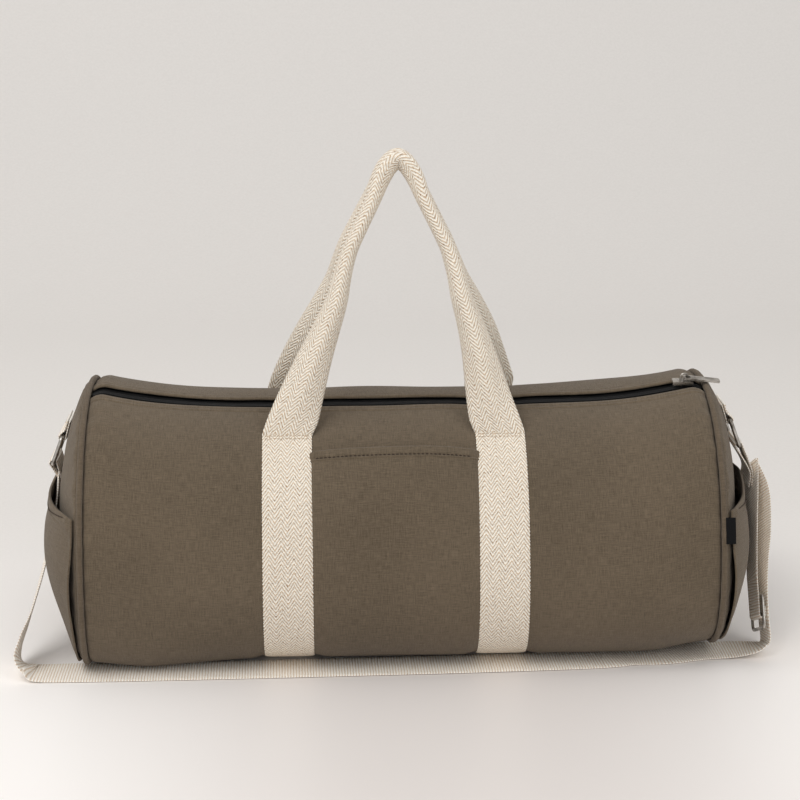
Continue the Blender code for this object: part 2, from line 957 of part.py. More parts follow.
def tab_bar(side, bar_height):
    """Centre of the ring's upper bar, with the panel's normal and downward way there."""
    surface = panel_skin(side, 0.0, bar_height)
    normal = (panel_skin(side, 0.0, bar_height, gap) - surface).normalized()
    down = Vector((side * normal.z, 0, -side * normal.x))
    middle = ring_wire + gap + strap_webbing_thickness / 2
    centre = surface + normal * (gap + strap_webbing_thickness / 2 + middle)
    return centre, normal, down, middle


def ring_tab(name, side, bar_height):
    """A short webbing, folded round the ring's upper bar with both its ends sewn to the panel."""
    centre, normal, down, middle = tab_bar(side, bar_height)
    layer = strap_webbing_thickness + gap
    outer_layer, inner_layer = [], []
    rows = 5
    for i in range(rows, 0, -1):
        rise = i / rows
        z = bar_height + tab_length * rise
        under = gap + strap_webbing_thickness / 2
        over = mixed(under + 2 * middle, under + layer, eased(2 * rise))
        outer_layer.append(panel_skin(side, 0.0, z, over))
        inner_layer.append(panel_skin(side, 0.0, z, under))
    fold = half_turn(centre, normal, down, middle)
    line = outer_layer + fold + inner_layer[::-1]
    return ribbon(name, flat_stations(line, tab_width / 2), strap_webbing_thickness, strap_webbing)


def ring_down(side):
    return Vector((side * math.sin(ring_lean), 0, -math.cos(ring_lean)))


def wire_ring(name, side, bar_height):
    centre = tab_bar(side, bar_height)[0]
    half_width = ring_clear_width / 2 + ring_wire
    outline = rounded_outline(0.0, ring_drop, half_width, ring_corner, 5)
    return tube(name, [centre + ring_down(side) * x + across_bag * y for x, y in outline],
                ring_wire, nickel, closed=True)


def strap_end(name, side, bar_height):
    """The strap's webbing looped on the ring: both layers hang down inside the strap's own leg."""
    bar = tab_bar(side, bar_height)[0] + ring_down(side) * ring_drop
    middle = ring_wire + gap + strap_webbing_thickness / 2
    layer = strap_webbing_thickness + gap
    out = Vector((side, 0, 0))
    foot_height = strap_pivot_height - strap_end_foot
    outer_foot = Vector((side * (strap_plane - layer), 0, foot_height))
    outer_knee = Vector((side * (strap_plane - layer), 0, strap_pivot_height))
    hanging = (outer_knee - out * (layer / 2) - bar).normalized()
    square = Vector((-side * hanging.z, 0, side * hanging.x))
    fold = half_turn(bar, square, -hanging, middle)
    line = [outer_foot, outer_knee] + fold + [outer_knee - out * layer, outer_foot - out * layer]
    return ribbon(name, flat_stations(line, strap_half_width), strap_webbing_thickness, strap_webbing)


for panel_side, side_name, bar_height in ((-1, "left", left_tab_bar_height),
                                          (1, "right", right_tab_bar_height)):
    ring_tab(side_name + "_ring_tab", panel_side, bar_height)
    wire_ring(side_name + "_ring", panel_side, bar_height)
    strap_end(side_name + "_strap_end", panel_side, bar_height)


# Shoulder strap and its adjuster

def strap_route():
    """The strap's stations: centre, way across its width, and outward normal."""
    placed = []
    for reach, front, height, tip in strap_route_shares:
        resting = strap_webbing_thickness / 2 + strap_half_width * math.sin(math.radians(tip))
        placed.append((reach * strap_corner_reach, -front * strap_floor_front,
                       max(height * strap_pivot_height, resting)))
    tips = [(math.radians(tip), 0, 0) for *_, tip in strap_route_shares]
    centres = curve_through(placed, section_samples)
    leans = curve_through(tips, section_samples)
    both = [(centre, lean.x) for centre, lean in zip(centres, leans)]
    even_centres = evenly(centres, strap_count)
    stations = []
    nearest = 0
    for i, centre in enumerate(even_centres):
        while (nearest < len(both) - 1
               and (both[nearest + 1][0] - centre).length <= (both[nearest][0] - centre).length):
            nearest += 1
        before = even_centres[max(i - 1, 0)]
        after = even_centres[min(i + 1, strap_count)]
        along = (after - before).normalized()
        lean = both[nearest][1]
        across = Vector((0, math.cos(lean), -math.sin(lean)))
        across = (across - along * across.dot(along)).normalized()
        normal = along.cross(across)
        lowest = strap_half_width * abs(across.z) + strap_webbing_thickness / 2 * abs(normal.z)
        centre.z = max(centre.z, lowest)
        stations.append((centre, across, normal))
    return stations


def rounded_end(pivot, tip, normal):
    """Ribbon stations of a half-round webbing end about a pivot, on a leg that leans forward by tip."""
    along = Vector((0, -math.sin(tip), -math.cos(tip)))
    across = Vector((0, math.cos(tip), -math.sin(tip)))
    stations = []
    arc_steps = 6
    for i in range(1, arc_steps + 1):
        angle = math.pi / 2 * i / arc_steps
        stations.append((pivot - along * (strap_half_width * math.cos(angle)),
                         across * (strap_half_width * math.sin(angle)), normal))
    return stations


def shoulder_strap(route):
    """The strap from its left pivot to its right pivot, with both ends half round."""
    left_tip, right_tip = (math.radians(strap_route_shares[i][3]) for i in (0, -1))
    left_end = rounded_end(route[0][0], left_tip, Vector((1, 0, 0)))
    right_end = rounded_end(route[-1][0], right_tip, Vector((-1, 0, 0)))
    body = [(centre, across * strap_half_width, normal) for centre, across, normal in route[1:-1]]
    return ribbon("shoulder_strap", left_end + body + right_end[::-1], strap_webbing_thickness,
                  strap_webbing)


def adjuster_frame(route):
    """Centre of the adjuster, the way up the leg, the way across it and the way in to the bag."""
    centre, across, inward = route[round(strap_count * adjuster_place_share)]
    up = across.cross(inward).normalized()
    if up.z < 0:
        up = -up
    bulge = 0.0
    for place, width_way, _ in route:
        if (place - centre).length < adjuster_length / 2:
            for edge in (-strap_half_width, strap_half_width):
                bulge = max(bulge, (place + width_way * edge - centre).dot(inward))
    stand = bulge + adjuster_thickness / 2 + 2 * gap + strap_webbing_thickness * 3 / 2
    return centre + inward * stand, up, across, inward


def strap_adjuster(route):
    centre, up, across, _ = adjuster_frame(route)
    half = adjuster_length / 2
    inner = adjuster_clear_width / 2
    low, high = adjuster_bar / 2, half - adjuster_side
    corner = adjuster_side / 4
    rim = rounded_outline(-half, half, inner + adjuster_side, adjuster_side)
    windows = [rounded_outline(low, high, inner, corner, 2), rounded_outline(-high, -low, inner, corner, 2)]
    flat_plate("strap_adjuster", [rim] + windows, adjuster_thickness, nickel, centre, up, across)


entry_shares = (1.00, 0.62, 0.33)


def strap_inner_leg(route):
    """The sewn end of the strap: from the right ring down to a loop round the adjuster's middle bar."""
    centre, up, across, inward = adjuster_frame(route)
    side = adjuster_thickness / 2 + gap + strap_webbing_thickness / 2
    pivot = Vector((strap_plane, 0, strap_pivot_height))
    entry = [centre + inward * side + up * (adjuster_length * share) for share in entry_shares]
    above = entry[0]
    tip = math.atan2(pivot.y - above.y, pivot.z - above.z)
    falling = curve_through([pivot] + entry, leg_steps)
    low = -up * (adjuster_bar / 2)
    hook = half_turn(centre + low, inward, -up, side)
    line = falling + [centre + inward * side] + hook + [centre - inward * side - low]
    stations = []
    for i, point in enumerate(line[1:], 1):
        before = line[i - 1]
        after = line[min(i + 1, len(line) - 1)]
        along = (after - before).normalized()
        share = eased((pivot - point).length / (pivot - above).length)
        way = Vector((0, math.cos(tip), -math.sin(tip))).lerp(across, share)
        way = (way - along * way.dot(along)).normalized()
        stations.append((point, way * strap_half_width, way.cross(along)))
    first = rounded_end(pivot, tip, Vector((-1, 0, 0)))
    leg = ribbon("strap_inner_leg", first + stations, strap_webbing_thickness, strap_webbing)
    cut_in_triangles(leg)


strap_stations = strap_route()
shoulder_strap(strap_stations)
strap_adjuster(strap_stations)
strap_inner_leg(strap_stations)


# Side label

def side_label():
    """A blank fabric tab in the right end seam."""
    reach = Vector((panel_edge + label_length / 2, 0, 0))
    half_width = Vector((label_length / 2, 0, 0))
    stations = []
    rows = 4
    stand = pocket_gap + pocket_wall + gap + label_thickness / 2
    for i in range(rows + 1):
        z = mixed(label_centre_height + label_height / 2, label_centre_height - label_height / 2, i / rows)
        turn = turn_at_height(z, half_length)
        stations.append((skin_point(half_length, turn, stand) + reach, half_width,
                         skin_normal(half_length, turn)))
    return ribbon("side_label", stations, label_thickness, label_fabric)


side_label()


# Pivots: each moving piece hangs from an empty on its joint's axis

def pivot_on(name, place, pieces, parent=None):
    pivot = bpy.data.objects.new(name, None)
    pivot.location = place
    bag.objects.link(pivot)
    if parent:
        pivot.parent = parent
        pivot.location = place - parent.location
    for piece in pieces:
        obj = bpy.data.objects[piece]
        obj.parent = pivot
        obj.matrix_parent_inverse = Matrix.Translation(-place)
    return pivot


for front, piece in ((1, "front_handle"), (-1, "back_handle")):
    pivot_on(piece + "_hinge", handle_hinge(front), [piece])
pivot_on("strap_swing", Vector((0, 0, strap_pivot_height)),
         ["shoulder_strap", "strap_adjuster", "strap_inner_leg"])
pivot_on("left_ring_hinge", tab_bar(-1, left_tab_bar_height)[0], ["left_ring", "left_strap_end"])
pivot_on("right_ring_hinge", tab_bar(1, right_tab_bar_height)[0], ["right_ring", "right_strap_end"])
slide = pivot_on("zip_slide", slider_foot, ["zip_slider"])
pivot_on("zip_pull_hinge", pull_hinge, ["zip_pull"], parent=slide)
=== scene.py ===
"""Looks of the canvas gym bag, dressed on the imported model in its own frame, in metres."""

import math

import bpy
import numpy as np
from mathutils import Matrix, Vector


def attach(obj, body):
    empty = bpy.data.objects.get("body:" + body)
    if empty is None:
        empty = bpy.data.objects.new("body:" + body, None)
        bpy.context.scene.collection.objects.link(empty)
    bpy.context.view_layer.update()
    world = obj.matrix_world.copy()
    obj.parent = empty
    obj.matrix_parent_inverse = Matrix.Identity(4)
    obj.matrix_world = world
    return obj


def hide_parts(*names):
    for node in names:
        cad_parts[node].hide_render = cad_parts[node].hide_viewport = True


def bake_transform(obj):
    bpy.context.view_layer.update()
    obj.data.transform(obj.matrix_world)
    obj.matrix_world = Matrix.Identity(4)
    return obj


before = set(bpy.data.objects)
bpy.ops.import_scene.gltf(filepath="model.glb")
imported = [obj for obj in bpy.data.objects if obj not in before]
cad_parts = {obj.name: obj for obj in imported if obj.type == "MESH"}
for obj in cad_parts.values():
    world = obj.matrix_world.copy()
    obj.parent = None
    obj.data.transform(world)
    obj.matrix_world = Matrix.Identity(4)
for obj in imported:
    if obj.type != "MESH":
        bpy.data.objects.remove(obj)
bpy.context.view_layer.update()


def look_from(obj, place, target):
    """Puts a camera or lamp in its place, turned to the target."""
    bpy.context.scene.collection.objects.link(obj)
    obj.location = place
    obj.rotation_euler = (Vector(target) - Vector(place)).to_track_quat("-Z", "Y").to_euler()


# Camera at the photograph's viewing angle

camera_distance, camera_height, camera_yaw = 1.53, 0.62, math.radians(2.4)
camera_shift, aim_height = 0.0018, 0.1975
camera_data = bpy.data.cameras.new("camera")
camera_data.sensor_width = 36
camera_data.lens = 84.6
camera_data.clip_start = 0.05
camera = bpy.data.objects.new("camera", camera_data)
camera_place = (camera_shift - camera_distance * math.sin(camera_yaw),
                -camera_distance * math.cos(camera_yaw), camera_height)
look_from(camera, camera_place, (camera_shift, 0, aim_height))
bpy.context.scene.camera = camera
bpy.context.scene.view_settings.view_transform = "Standard"


# Materials. Colours are display values from 0 to 255, and texture sizes are in metres.

def linear(*colour):
    shares = [value / 255 for value in colour]
    return (*(s / 12.92 if s <= 0.04045 else ((s + 0.055) / 1.055) ** 2.4 for s in shares), 1.0)


class Graph:
    """A material's node tree, with sums of sockets written as calls."""

    def __init__(self, name):
        self.material = bpy.data.materials.new(name)
        self.material.use_nodes = True
        self.tree = self.material.node_tree
        self.shader = self.tree.nodes["Principled BSDF"]

    def put(self, socket, value):
        if isinstance(value, bpy.types.NodeSocket):
            self.tree.links.new(value, socket)
        else:
            socket.default_value = value

    def fill(self, made, values):
        for key, value in values.items():
            self.put(made.inputs[key], value)
        return made.outputs[0]

    def node(self, kind, *values, **settings):
        made = self.tree.nodes.new(kind)
        for key, value in settings.items():
            setattr(made, key, value)
        for socket, value in zip(made.inputs, values):
            self.put(socket, value)
        return made

    def maths(self, operation, *values):
        return self.node("ShaderNodeMath", *values, operation=operation).outputs[0]

    def add(self, a, b):
        return self.maths("ADD", a, b)

    def less(self, a, b):
        return self.maths("SUBTRACT", a, b)

    def times(self, a, b):
        return self.maths("MULTIPLY", a, b)

    def total(self, *parts):
        """The sum of sockets, each times its weight."""
        found = self.times(*parts[0])
        for part in parts[1:]:
            found = self.add(found, self.times(*part))
        return found

    def sine(self, value, pitch=math.tau):
        return self.maths("SINE", self.times(value, math.tau / pitch))

    def split(self, vector):
        return self.node("ShaderNodeSeparateXYZ", vector).outputs

    def uv(self):
        coordinate = self.node("ShaderNodeTexCoord").outputs["UV"]
        return coordinate, *self.split(coordinate)[:2]

    def place(self):
        return self.node("ShaderNodeTexCoord").outputs["Object"]

    def noise(self, vector, scale=1.0, detail=2.0, roughness=0.5):
        return self.fill(self.node("ShaderNodeTexNoise"), {
            "Vector": vector, "Scale": scale, "Detail": detail, "Roughness": roughness})

    def fibres(self, vector, x, y, z=1.0, detail=2.0, roughness=0.6):
        """Noise drawn out by a different scale each way."""
        scaled = self.node("ShaderNodeVectorMath", vector, (x, y, z), operation="MULTIPLY").outputs[0]
        return self.noise(scaled, 1.0, detail, roughness)

    def span(self, value, low, high, to_low=0.0, to_high=1.0, kind="LINEAR"):
        return self.node("ShaderNodeMapRange", value, low, high, to_low, to_high,
                         interpolation_type=kind).outputs[0]

    def even(self, noise):
        """The middle of a noise's values spread over 0 to 1."""
        return self.span(noise, 0.3, 0.7)

    def wave(self, value, pitch=math.tau, crest=1.0):
        return self.span(self.sine(value, pitch), -1.0, crest)

    def mix(self, share, a, b):
        made = self.node("ShaderNodeMix", data_type="RGBA")
        self.put(made.inputs["Factor"], share)
        for socket, colour in zip([s for s in made.inputs if s.type == "RGBA"], (a, b)):
            self.put(socket, linear(*colour) if isinstance(colour, tuple) else colour)
        return [s for s in made.outputs if s.type == "RGBA"][0]

    def bump(self, height, distance, strength=1.0):
        normal = self.fill(self.node("ShaderNodeBump"), {
            "Strength": strength, "Distance": distance, "Height": height})
        self.put(self.shader.inputs["Normal"], normal)

    def finish(self, colour, roughness, sheen=0.0, metallic=0.0, specular=0.5):
        self.fill(self.shader, {"Base Color": colour, "Roughness": roughness, "Metallic": metallic,
                                "Specular IOR Level": specular})
        if sheen:
            self.fill(self.shader, {"Sheen Weight": sheen, "Sheen Roughness": 0.6})
        return self.material


def canvas_material(name, light, dark, pitch):
    """Plain-woven cotton canvas: crossing threads, slubs along both ways and a little dye variation."""
    g = Graph(name)
    uv, u, v = g.uv()
    weave = g.times(g.sine(u, pitch), g.sine(v, pitch))
    slubs = g.add(g.even(g.fibres(uv, 1500, 110)), g.even(g.fibres(uv, 110, 1500)))
    fine = g.noise(uv, 1500.0, 2.0, 0.7)
    dye = g.noise(g.place(), 9.0, 3.0)
    tone = g.total((slubs, 0.3), (weave, 0.1), (g.span(fine, 0.25, 0.75), 0.22), (g.even(dye), 0.16))
    colour = g.mix(g.span(tone, 0.18, 0.92), dark, light)
    g.bump(g.total((weave, 0.5), (slubs, 0.8), (fine, 0.8)), 0.00022, 0.9)
    return g.finish(colour, 0.93, sheen=0.12, specular=0.25)


def dyed(g, tone, least, light, dark, speck, cover=None):
    """Webbing's colour: light yarns, dark between them, specks over a cover and slow dye variation."""
    colour = g.mix(tone, dark, light)
    if cover is not None:
        colour = g.mix(cover, colour, speck)
    dye = g.noise(g.place(), 14.0, 3.0)
    return g.mix(g.span(dye, least, 0.75, 0.0, 0.08), colour, speck)


def herringbone_material(name, light, dark, speck):
    """Cotton webbing in a herringbone: plump slanted yarns that turn at each column, tan between them."""
    column, pitch = 0.01, 0.0036
    g = Graph(name)
    uv, u, v = g.uv()
    fold = g.times(g.maths("PINGPONG", g.add(u, 1.0), column / 2), 1.5)
    wobble = g.times(g.times(g.noise(uv, 210.0), 0.55), math.tau)
    rib = g.wave(g.add(g.times(g.add(v, fold), math.tau / pitch), wobble))
    bead = g.wave(g.add(g.times(g.less(v, fold), math.pi / pitch), wobble), crest=0.2)
    plump = g.total((rib, 0.4), (g.times(rib, bead), 0.6))
    yarn = g.even(g.fibres(uv, 1300, 700))
    tone = g.add(g.span(plump, -0.02, 0.26), g.times(g.less(yarn, 0.5), 0.2))
    flecks = g.fibres(uv, 560, 430, roughness=0.55)
    cover = g.times(g.span(flecks, 0.56, 0.66, kind="SMOOTHSTEP"), g.span(plump, 0.5, 0.12))
    colour = dyed(g, tone, 0.35, light, dark, speck, g.times(cover, 0.85))
    g.bump(g.add(plump, g.times(yarn, 0.22)), 0.0008)
    return g.finish(colour, 0.86, sheen=0.08, specular=0.25)


def ribbed_material(name, light, dark, speck):
    """Cotton webbing with plump ribs across it."""
    rib_pitch, yarn_pitch = 0.0023, 0.0021
    g = Graph(name)
    uv, u, v = g.uv()
    wobble = g.times(g.noise(uv, 200.0), 0.35)
    rib = g.wave(g.add(g.times(v, 1 / rib_pitch), wobble), 1.0)
    plump = g.total((rib, 0.72), (g.wave(u, yarn_pitch), 0.28))
    yarn = g.even(g.fibres(uv, 900, 700))
    tone = g.add(g.span(plump, 0.08, 0.52), g.times(g.less(yarn, 0.5), 0.3))
    colour = dyed(g, tone, 0.4, light, dark, speck)
    g.bump(g.add(plump, g.times(yarn, 0.25)), 0.00045)
    return g.finish(colour, 0.88, sheen=0.08, specular=0.25)


def tape_material(name, light, dark):
    g = Graph(name)
    uv, u, v = g.uv()
    twill = g.sine(g.add(u, v), 0.0009)
    share = g.times(g.span(twill, -1.0, 1.0), g.even(g.noise(uv, 900.0)))
    g.bump(twill, 0.00012, 0.8)
    return g.finish(g.mix(share, dark, light), 0.85, specular=0.18)


def coil_material(name, light, dark):
    g = Graph(name)
    fibre = g.noise(g.place(), 700.0)
    g.bump(fibre, 0.00008, 0.6)
    return g.finish(g.mix(g.even(fibre), dark, light), 0.6, specular=0.25)


def metal_material(name, clean, worn):
    """Nickel plate with fine polishing lines and a few dull patches."""
    g = Graph(name)
    place = g.place()
    lines = g.fibres(place, 300, 2600, 2600, detail=3.0)
    patches = g.noise(place, 120.0, 3.0)
    roughness = g.span(g.total((lines, 0.5), (patches, 0.5)), 0.35, 0.68, 0.2, 0.42)
    g.bump(lines, 0.00004, 0.5)
    return g.finish(g.mix(g.span(patches, 0.42, 0.7), clean, worn), roughness, metallic=1.0)


def thread_material(name, light, dark):
    """Twisted sewing thread."""
    g = Graph(name)
    u, v = g.uv()[1:]
    twist = g.sine(g.add(u, g.times(v, 2.0)), 0.0007)
    g.bump(twist, 0.00008, 0.7)
    return g.finish(g.mix(g.span(twist, -1.0, 1.0), dark, light), 0.75, sheen=0.05, specular=0.3)


olive = canvas_material("olive_canvas_weave", (124, 109, 90), (77, 66, 51), pitch=0.00105)
piping_cloth = canvas_material("piping_canvas_weave", (120, 105, 87), (76, 65, 51), pitch=0.0011)
cream = herringbone_material("cream_webbing_weave", (255, 249, 236), (196, 166, 132), (150, 116, 84))
strap_cream = ribbed_material("strap_webbing_weave", (255, 251, 243), (212, 188, 162), (190, 160, 130))
black_tape = tape_material("zip_tape_weave", (20, 20, 21), (9, 9, 10))
black_coil = coil_material("zip_coil_nylon", (15, 15, 16), (8, 8, 9))
label_cloth = tape_material("label_weave", (24, 24, 26), (10, 10, 11))
nickel = metal_material("nickel_plate", (190, 186, 180), (122, 116, 108))
brown_thread = thread_material("brown_thread", (66, 48, 34), (40, 28, 20))
cream_thread = thread_material("cream_thread", (232, 216, 196), (196, 172, 146))


# Mesh helpers

def unit(vectors):
    return vectors / np.maximum(np.linalg.norm(vectors, axis=-1, keepdims=True), 1e-12)


def square_to(across, along):
    """The unit ways across, with what runs along taken out."""
    return unit(across - along * (along * across).sum(1, keepdims=True))


def smooth(value):
    value = np.clip(value, 0.0, 1.0)
    return value * value * (3 - 2 * value)


def joined(*parts, axis=0):
    return np.concatenate(parts, axis)


def stacked(*parts):
    """The parts side by side along a last axis."""
    return np.stack(np.broadcast_arrays(*parts), -1)


def reach_along(points):
    return joined([0.0], np.cumsum(np.linalg.norm(np.diff(points, axis=0), axis=1)))


def interpolated(wanted, places, values):
    """The values, given at these places, at the wanted ones."""
    return np.stack([np.interp(wanted, places, column) for column in values.T], -1)


def made_mesh(name, points, faces, uv, material, body="bag", nodes=()):
    """A smooth-shaded mesh object with its UV in metres, on its body."""
    mesh = bpy.data.meshes.new(name)
    mesh.from_pydata(points.reshape(-1, 3).tolist(), [], [list(f) for f in faces])
    layer = mesh.uv_layers.new(name="metres")
    index = np.empty(len(mesh.loops), np.int32)
    mesh.loops.foreach_get("vertex_index", index)
    layer.data.foreach_set("uv", uv.astype(np.float32).reshape(-1, 2)[index].ravel())
    mesh.materials.append(material)
    mesh.shade_smooth()
    mesh.update()
    obj = bpy.data.objects.new(name, mesh)
    bpy.context.scene.collection.objects.link(obj)
    if body:
        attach(obj, body)
    if nodes:
        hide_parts(*nodes)
    return obj


def grid_faces(rows, columns, start=0, wrap=False):
    """Quads of a grid whose points are numbered row by row."""
    i, j = np.meshgrid(np.arange(rows - 1), np.arange(columns if wrap else columns - 1), indexing="ij")
    k = (j + 1) % columns
    quads = stacked(i * columns + j, i * columns + k, (i + 1) * columns + k, (i + 1) * columns + j)
    return quads.reshape(-1, 4) + start


def slab(name, outer, uv, wall, material, node, flip=False, normals=None):
    """A cloth of this wall behind a grid of points on its outer face."""
    rows, columns = outer.shape[:2]
    if normals is None:
        normals = unit(np.cross(np.gradient(outer, axis=1), np.gradient(outer, axis=0))) * (-1 if flip else 1)
    inner = outer - normals * wall
    count = rows * columns
    edge = joined(np.arange(columns), np.arange(1, rows) * columns + columns - 1,
                  (rows - 1) * columns + np.arange(columns - 2, -1, -1),
                  np.arange(rows - 2, 0, -1) * columns)
    after = np.roll(edge, -1)
    sides = stacked(after, edge, edge + count, after + count)
    faces = joined(grid_faces(rows, columns), grid_faces(rows, columns, count)[:, ::-1], sides)
    if flip:
        faces = faces[:, ::-1]
    made_mesh(name, joined(outer.reshape(-1, 3), inner.reshape(-1, 3)), faces,
              joined(*[uv.reshape(-1, 2)] * 2), material, nodes=(node,))


def rings_mesh(name, rings, uv, material, body="bag", nodes=(), closed=False):
    """A solid through section rings: closed on itself, or with its ends capped."""
    count, size = rings.shape[:2]
    faces = grid_faces(count, size, wrap=True).tolist()
    last = (count - 1) * size
    if closed:
        faces += [[last + j, last + (j + 1) % size, (j + 1) % size, j] for j in range(size)]
    else:
        faces += [list(range(size))[::-1], list(range(last, last + size))]
    return made_mesh(name, rings, faces, uv, material, body, nodes)


def ribbon_rings(centres, across, normals, half_width, thickness, profile, scallop, pitch=0.00185):
    """Section rings of webbing with rounded, slightly scalloped selvedges, and their UV."""
    length = reach_along(centres)
    s = np.sin(np.linspace(-math.pi / 2, math.pi / 2, profile))
    half = half_width + scallop * np.sin(math.tau * length / pitch)
    thick = thickness / 2 * (1 - 0.72 * np.abs(s) ** 10)
    wide = half[:, None] * s[None, :]
    middle = centres[:, None, :] + across[:, None, :] * wide[..., None]
    rise = normals[:, None, :] * thick[None, :, None]
    rings = joined(middle + rise, (middle - rise)[:, ::-1], axis=1)
    u = joined(wide, wide[:, ::-1], axis=1)
    return rings, stacked(u, length[:, None])


def oval_rings(centres, side, other, wide, high, sides):
    """Rings round the centres, this far out along side and along other."""
    angles = np.arange(sides) * math.tau / sides
    wide, high = (np.broadcast_to(size, len(centres))[:, None, None] for size in (wide, high))
    return centres[:, None, :] + (side[:, None, :] * wide * np.cos(angles)[None, :, None]
                                  + other[:, None, :] * high * np.sin(angles)[None, :, None])


def tube_rings(points, radius, sides, up, closed=False):
    """Section rings of a round bar along points, and their UV."""
    if closed:
        along = unit(np.roll(points, -1, axis=0) - np.roll(points, 1, axis=0))
    else:
        along = unit(np.gradient(points, axis=0))
    side = np.empty_like(points)
    held = np.asarray(up, float)
    for i, way in enumerate(along):
        held = held - way * held.dot(way)
        held = held / max(np.linalg.norm(held), 1e-9)
        side[i] = held
    radius = np.broadcast_to(radius, len(points))
    rings = oval_rings(points, side, np.cross(along, side), radius, radius, sides)
    from_seam = np.abs(np.arange(sides) * math.tau / sides - math.pi)
    return rings, stacked(from_seam * radius[:, None], reach_along(points)[:, None])


def curve_through(points, samples, closed=False):
    """Points along the smooth curve through the given points."""
    points = np.asarray(points, float)
    if closed:
        padded = joined(points[-1:], points, points[:2])
    else:
        padded = joined([2 * points[0] - points[1]], points, [2 * points[-1] - points[-2]])
    t = (np.arange(samples) / samples)[:, None]
    found = []
    for i in range(len(padded) - 3):
        a, b, c, d = padded[i:i + 4]
        found.append((b * 2 + (c - a) * t + (a * 2 - b * 5 + c * 4 - d) * t ** 2
                      + (b * 3 - a - c * 3 + d) * t ** 3) / 2)
    if not closed:
        found.append(points[-1:])
    return joined(*found)


def respaced(points, step, *others):
    """The line, and what goes with it, with its points evenly spaced about this far apart."""
    length = reach_along(points)
    wanted = np.linspace(0, length[-1], max(2, round(length[-1] / step) + 1))
    moved = [interpolated(wanted, length, item) for item in (points, *others)]
    return moved if others else moved[0]


# Stitches: length, pitch and radius of the thread
fine_stitch, bold_stitch = (0.0024, 0.0034, 0.00028), (0.0026, 0.0034, 0.00042)
band_stitch, tab_stitch = (0.0026, 0.0033, 0.00034), (0.0024, 0.0031, 0.00032)


def stitches(name, line, normals, material, stitch):
    """Short threads along a seam, each with its ends sunk in the cloth."""
    length, pitch, radius = stitch
    reached = reach_along(line)
    points, faces, uv = [], [], []
    sides, steps = 6, 5
    profile = np.linspace(-1, 1, steps)
    size = radius * np.sqrt(np.maximum(1 - profile ** 4, 0.05))
    sunk = (radius * 0.55 - radius * 1.5 * profile ** 4)[:, None]
    angle = np.arange(sides) * math.tau / sides
    for k in range(int(reached[-1] / pitch)):
        at = (k + 0.5) * pitch + profile * length / 2
        centre = interpolated(at, reached, line)
        normal = unit(interpolated(at, reached, normals))
        side = unit(np.cross(unit(np.gradient(centre, axis=0)), normal))
        points.append(oval_rings(centre + normal * sunk, side, normal, size, size, sides).reshape(-1, 3))
        start = k * sides * steps
        faces += grid_faces(steps, sides, start, wrap=True).tolist()
        stop = start + sides * steps
        faces += [list(range(start, start + sides))[::-1], list(range(stop - sides, stop))]
        uv.append(stacked(np.repeat(at, sides), np.tile(angle * radius, steps)))
    made_mesh(name, joined(*points), faces, joined(*uv), material)


# The bag's skin, as in the CAD, with the sag and the soft unevenness of cloth

ends, ways = ((-1, "left"), (1, "right")), ((1, "front"), (-1, "back"))
bag_length, half_depth = 0.513, 0.128
half_length = bag_length / 2
middle_height, end_height, top_dip, arch_power = 0.209, 0.219, 0.006, 4
end_drop, end_drop_length = 0.005, 0.014
end_lifts, end_lift_length = {-1: 0.006, 1: 0.009}, 0.06
gap = 0.0003
zip_forward, zip_slot = 0.022, 0.018
handle_width, handle_thickness = 0.04, 0.002
strap_width, strap_thickness = 0.036, 0.0018
band_spacing, band_shift, band_ease, band_top = 0.173, -0.006, 0.012, 0.186
piping_radius, piping_stand = 0.0025, 0.0008
panel_edge, dome_edge, dome_power = piping_radius + gap, piping_radius + 6 * gap, 2.4
cloth_wall = 0.0012
# Half sections of the bag from its top round the front to its base: boxy at the left end, rounder elsewhere
upper_shares = ((0.00, 1.000), (0.33, 0.968), (0.62, 0.862), (0.84, 0.685), (0.96, 0.48), (1.00, 0.3))
boxy_base = ((0.97, 0.135), (0.85, 0.03), (0.64, 0.000), (0.31, 0.000), (0.00, 0.000))
round_base = ((0.945, 0.15), (0.79, 0.052), (0.58, 0.006), (0.3, 0.000), (0.00, 0.000))
boxy_from, boxy_full = 0.1, 0.235


def dense_outline(base_shares):
    shares = np.array(upper_shares + base_shares)
    outline = curve_through(joined(shares * (-1, 1), shares[1:-1][::-1]), 40, closed=True)
    closed = joined(outline, outline[:1])
    length = reach_along(closed * (half_depth, middle_height))
    return closed, length / length[-1], length[-1]


round_pairs, round_turn, perimeter = dense_outline(round_base)
boxy_pairs, boxy_turn, _ = dense_outline(boxy_base)
zip_turn = zip_forward / perimeter


def section(turn, x):
    turn = np.mod(turn, 1.0)
    boxy = smooth((-x - boxy_from) / (boxy_full - boxy_from))
    y, z = (np.interp(turn, round_turn, round_pairs[:, k]) * (1 - boxy)
            + np.interp(turn, boxy_turn, boxy_pairs[:, k]) * boxy for k in (0, 1))
    return y, np.maximum(z, 0.0)


def band_centre(side):
    return band_shift + side * band_spacing / 2


def beyond_band(x):
    """How far outside the nearer band this is."""
    return np.minimum(*[np.abs(x - band_centre(side)) for side in (-1, 1)]) - handle_width / 2


def near_end(x, length):
    return smooth((np.abs(x) - half_length + length) / length)


def skin_base(x):
    over_band = 1 - smooth((beyond_band(x) - gap) / band_ease)
    lifts = near_end(x, end_lift_length) * np.where(x < 0, end_lifts[-1], end_lifts[1])
    return over_band * (handle_thickness + gap) + lifts


def skin_top(x):
    low = middle_height - top_dip
    arch = low + (end_height - low) * (x / half_length) ** arch_power
    return arch - near_end(x, end_drop_length) * end_drop


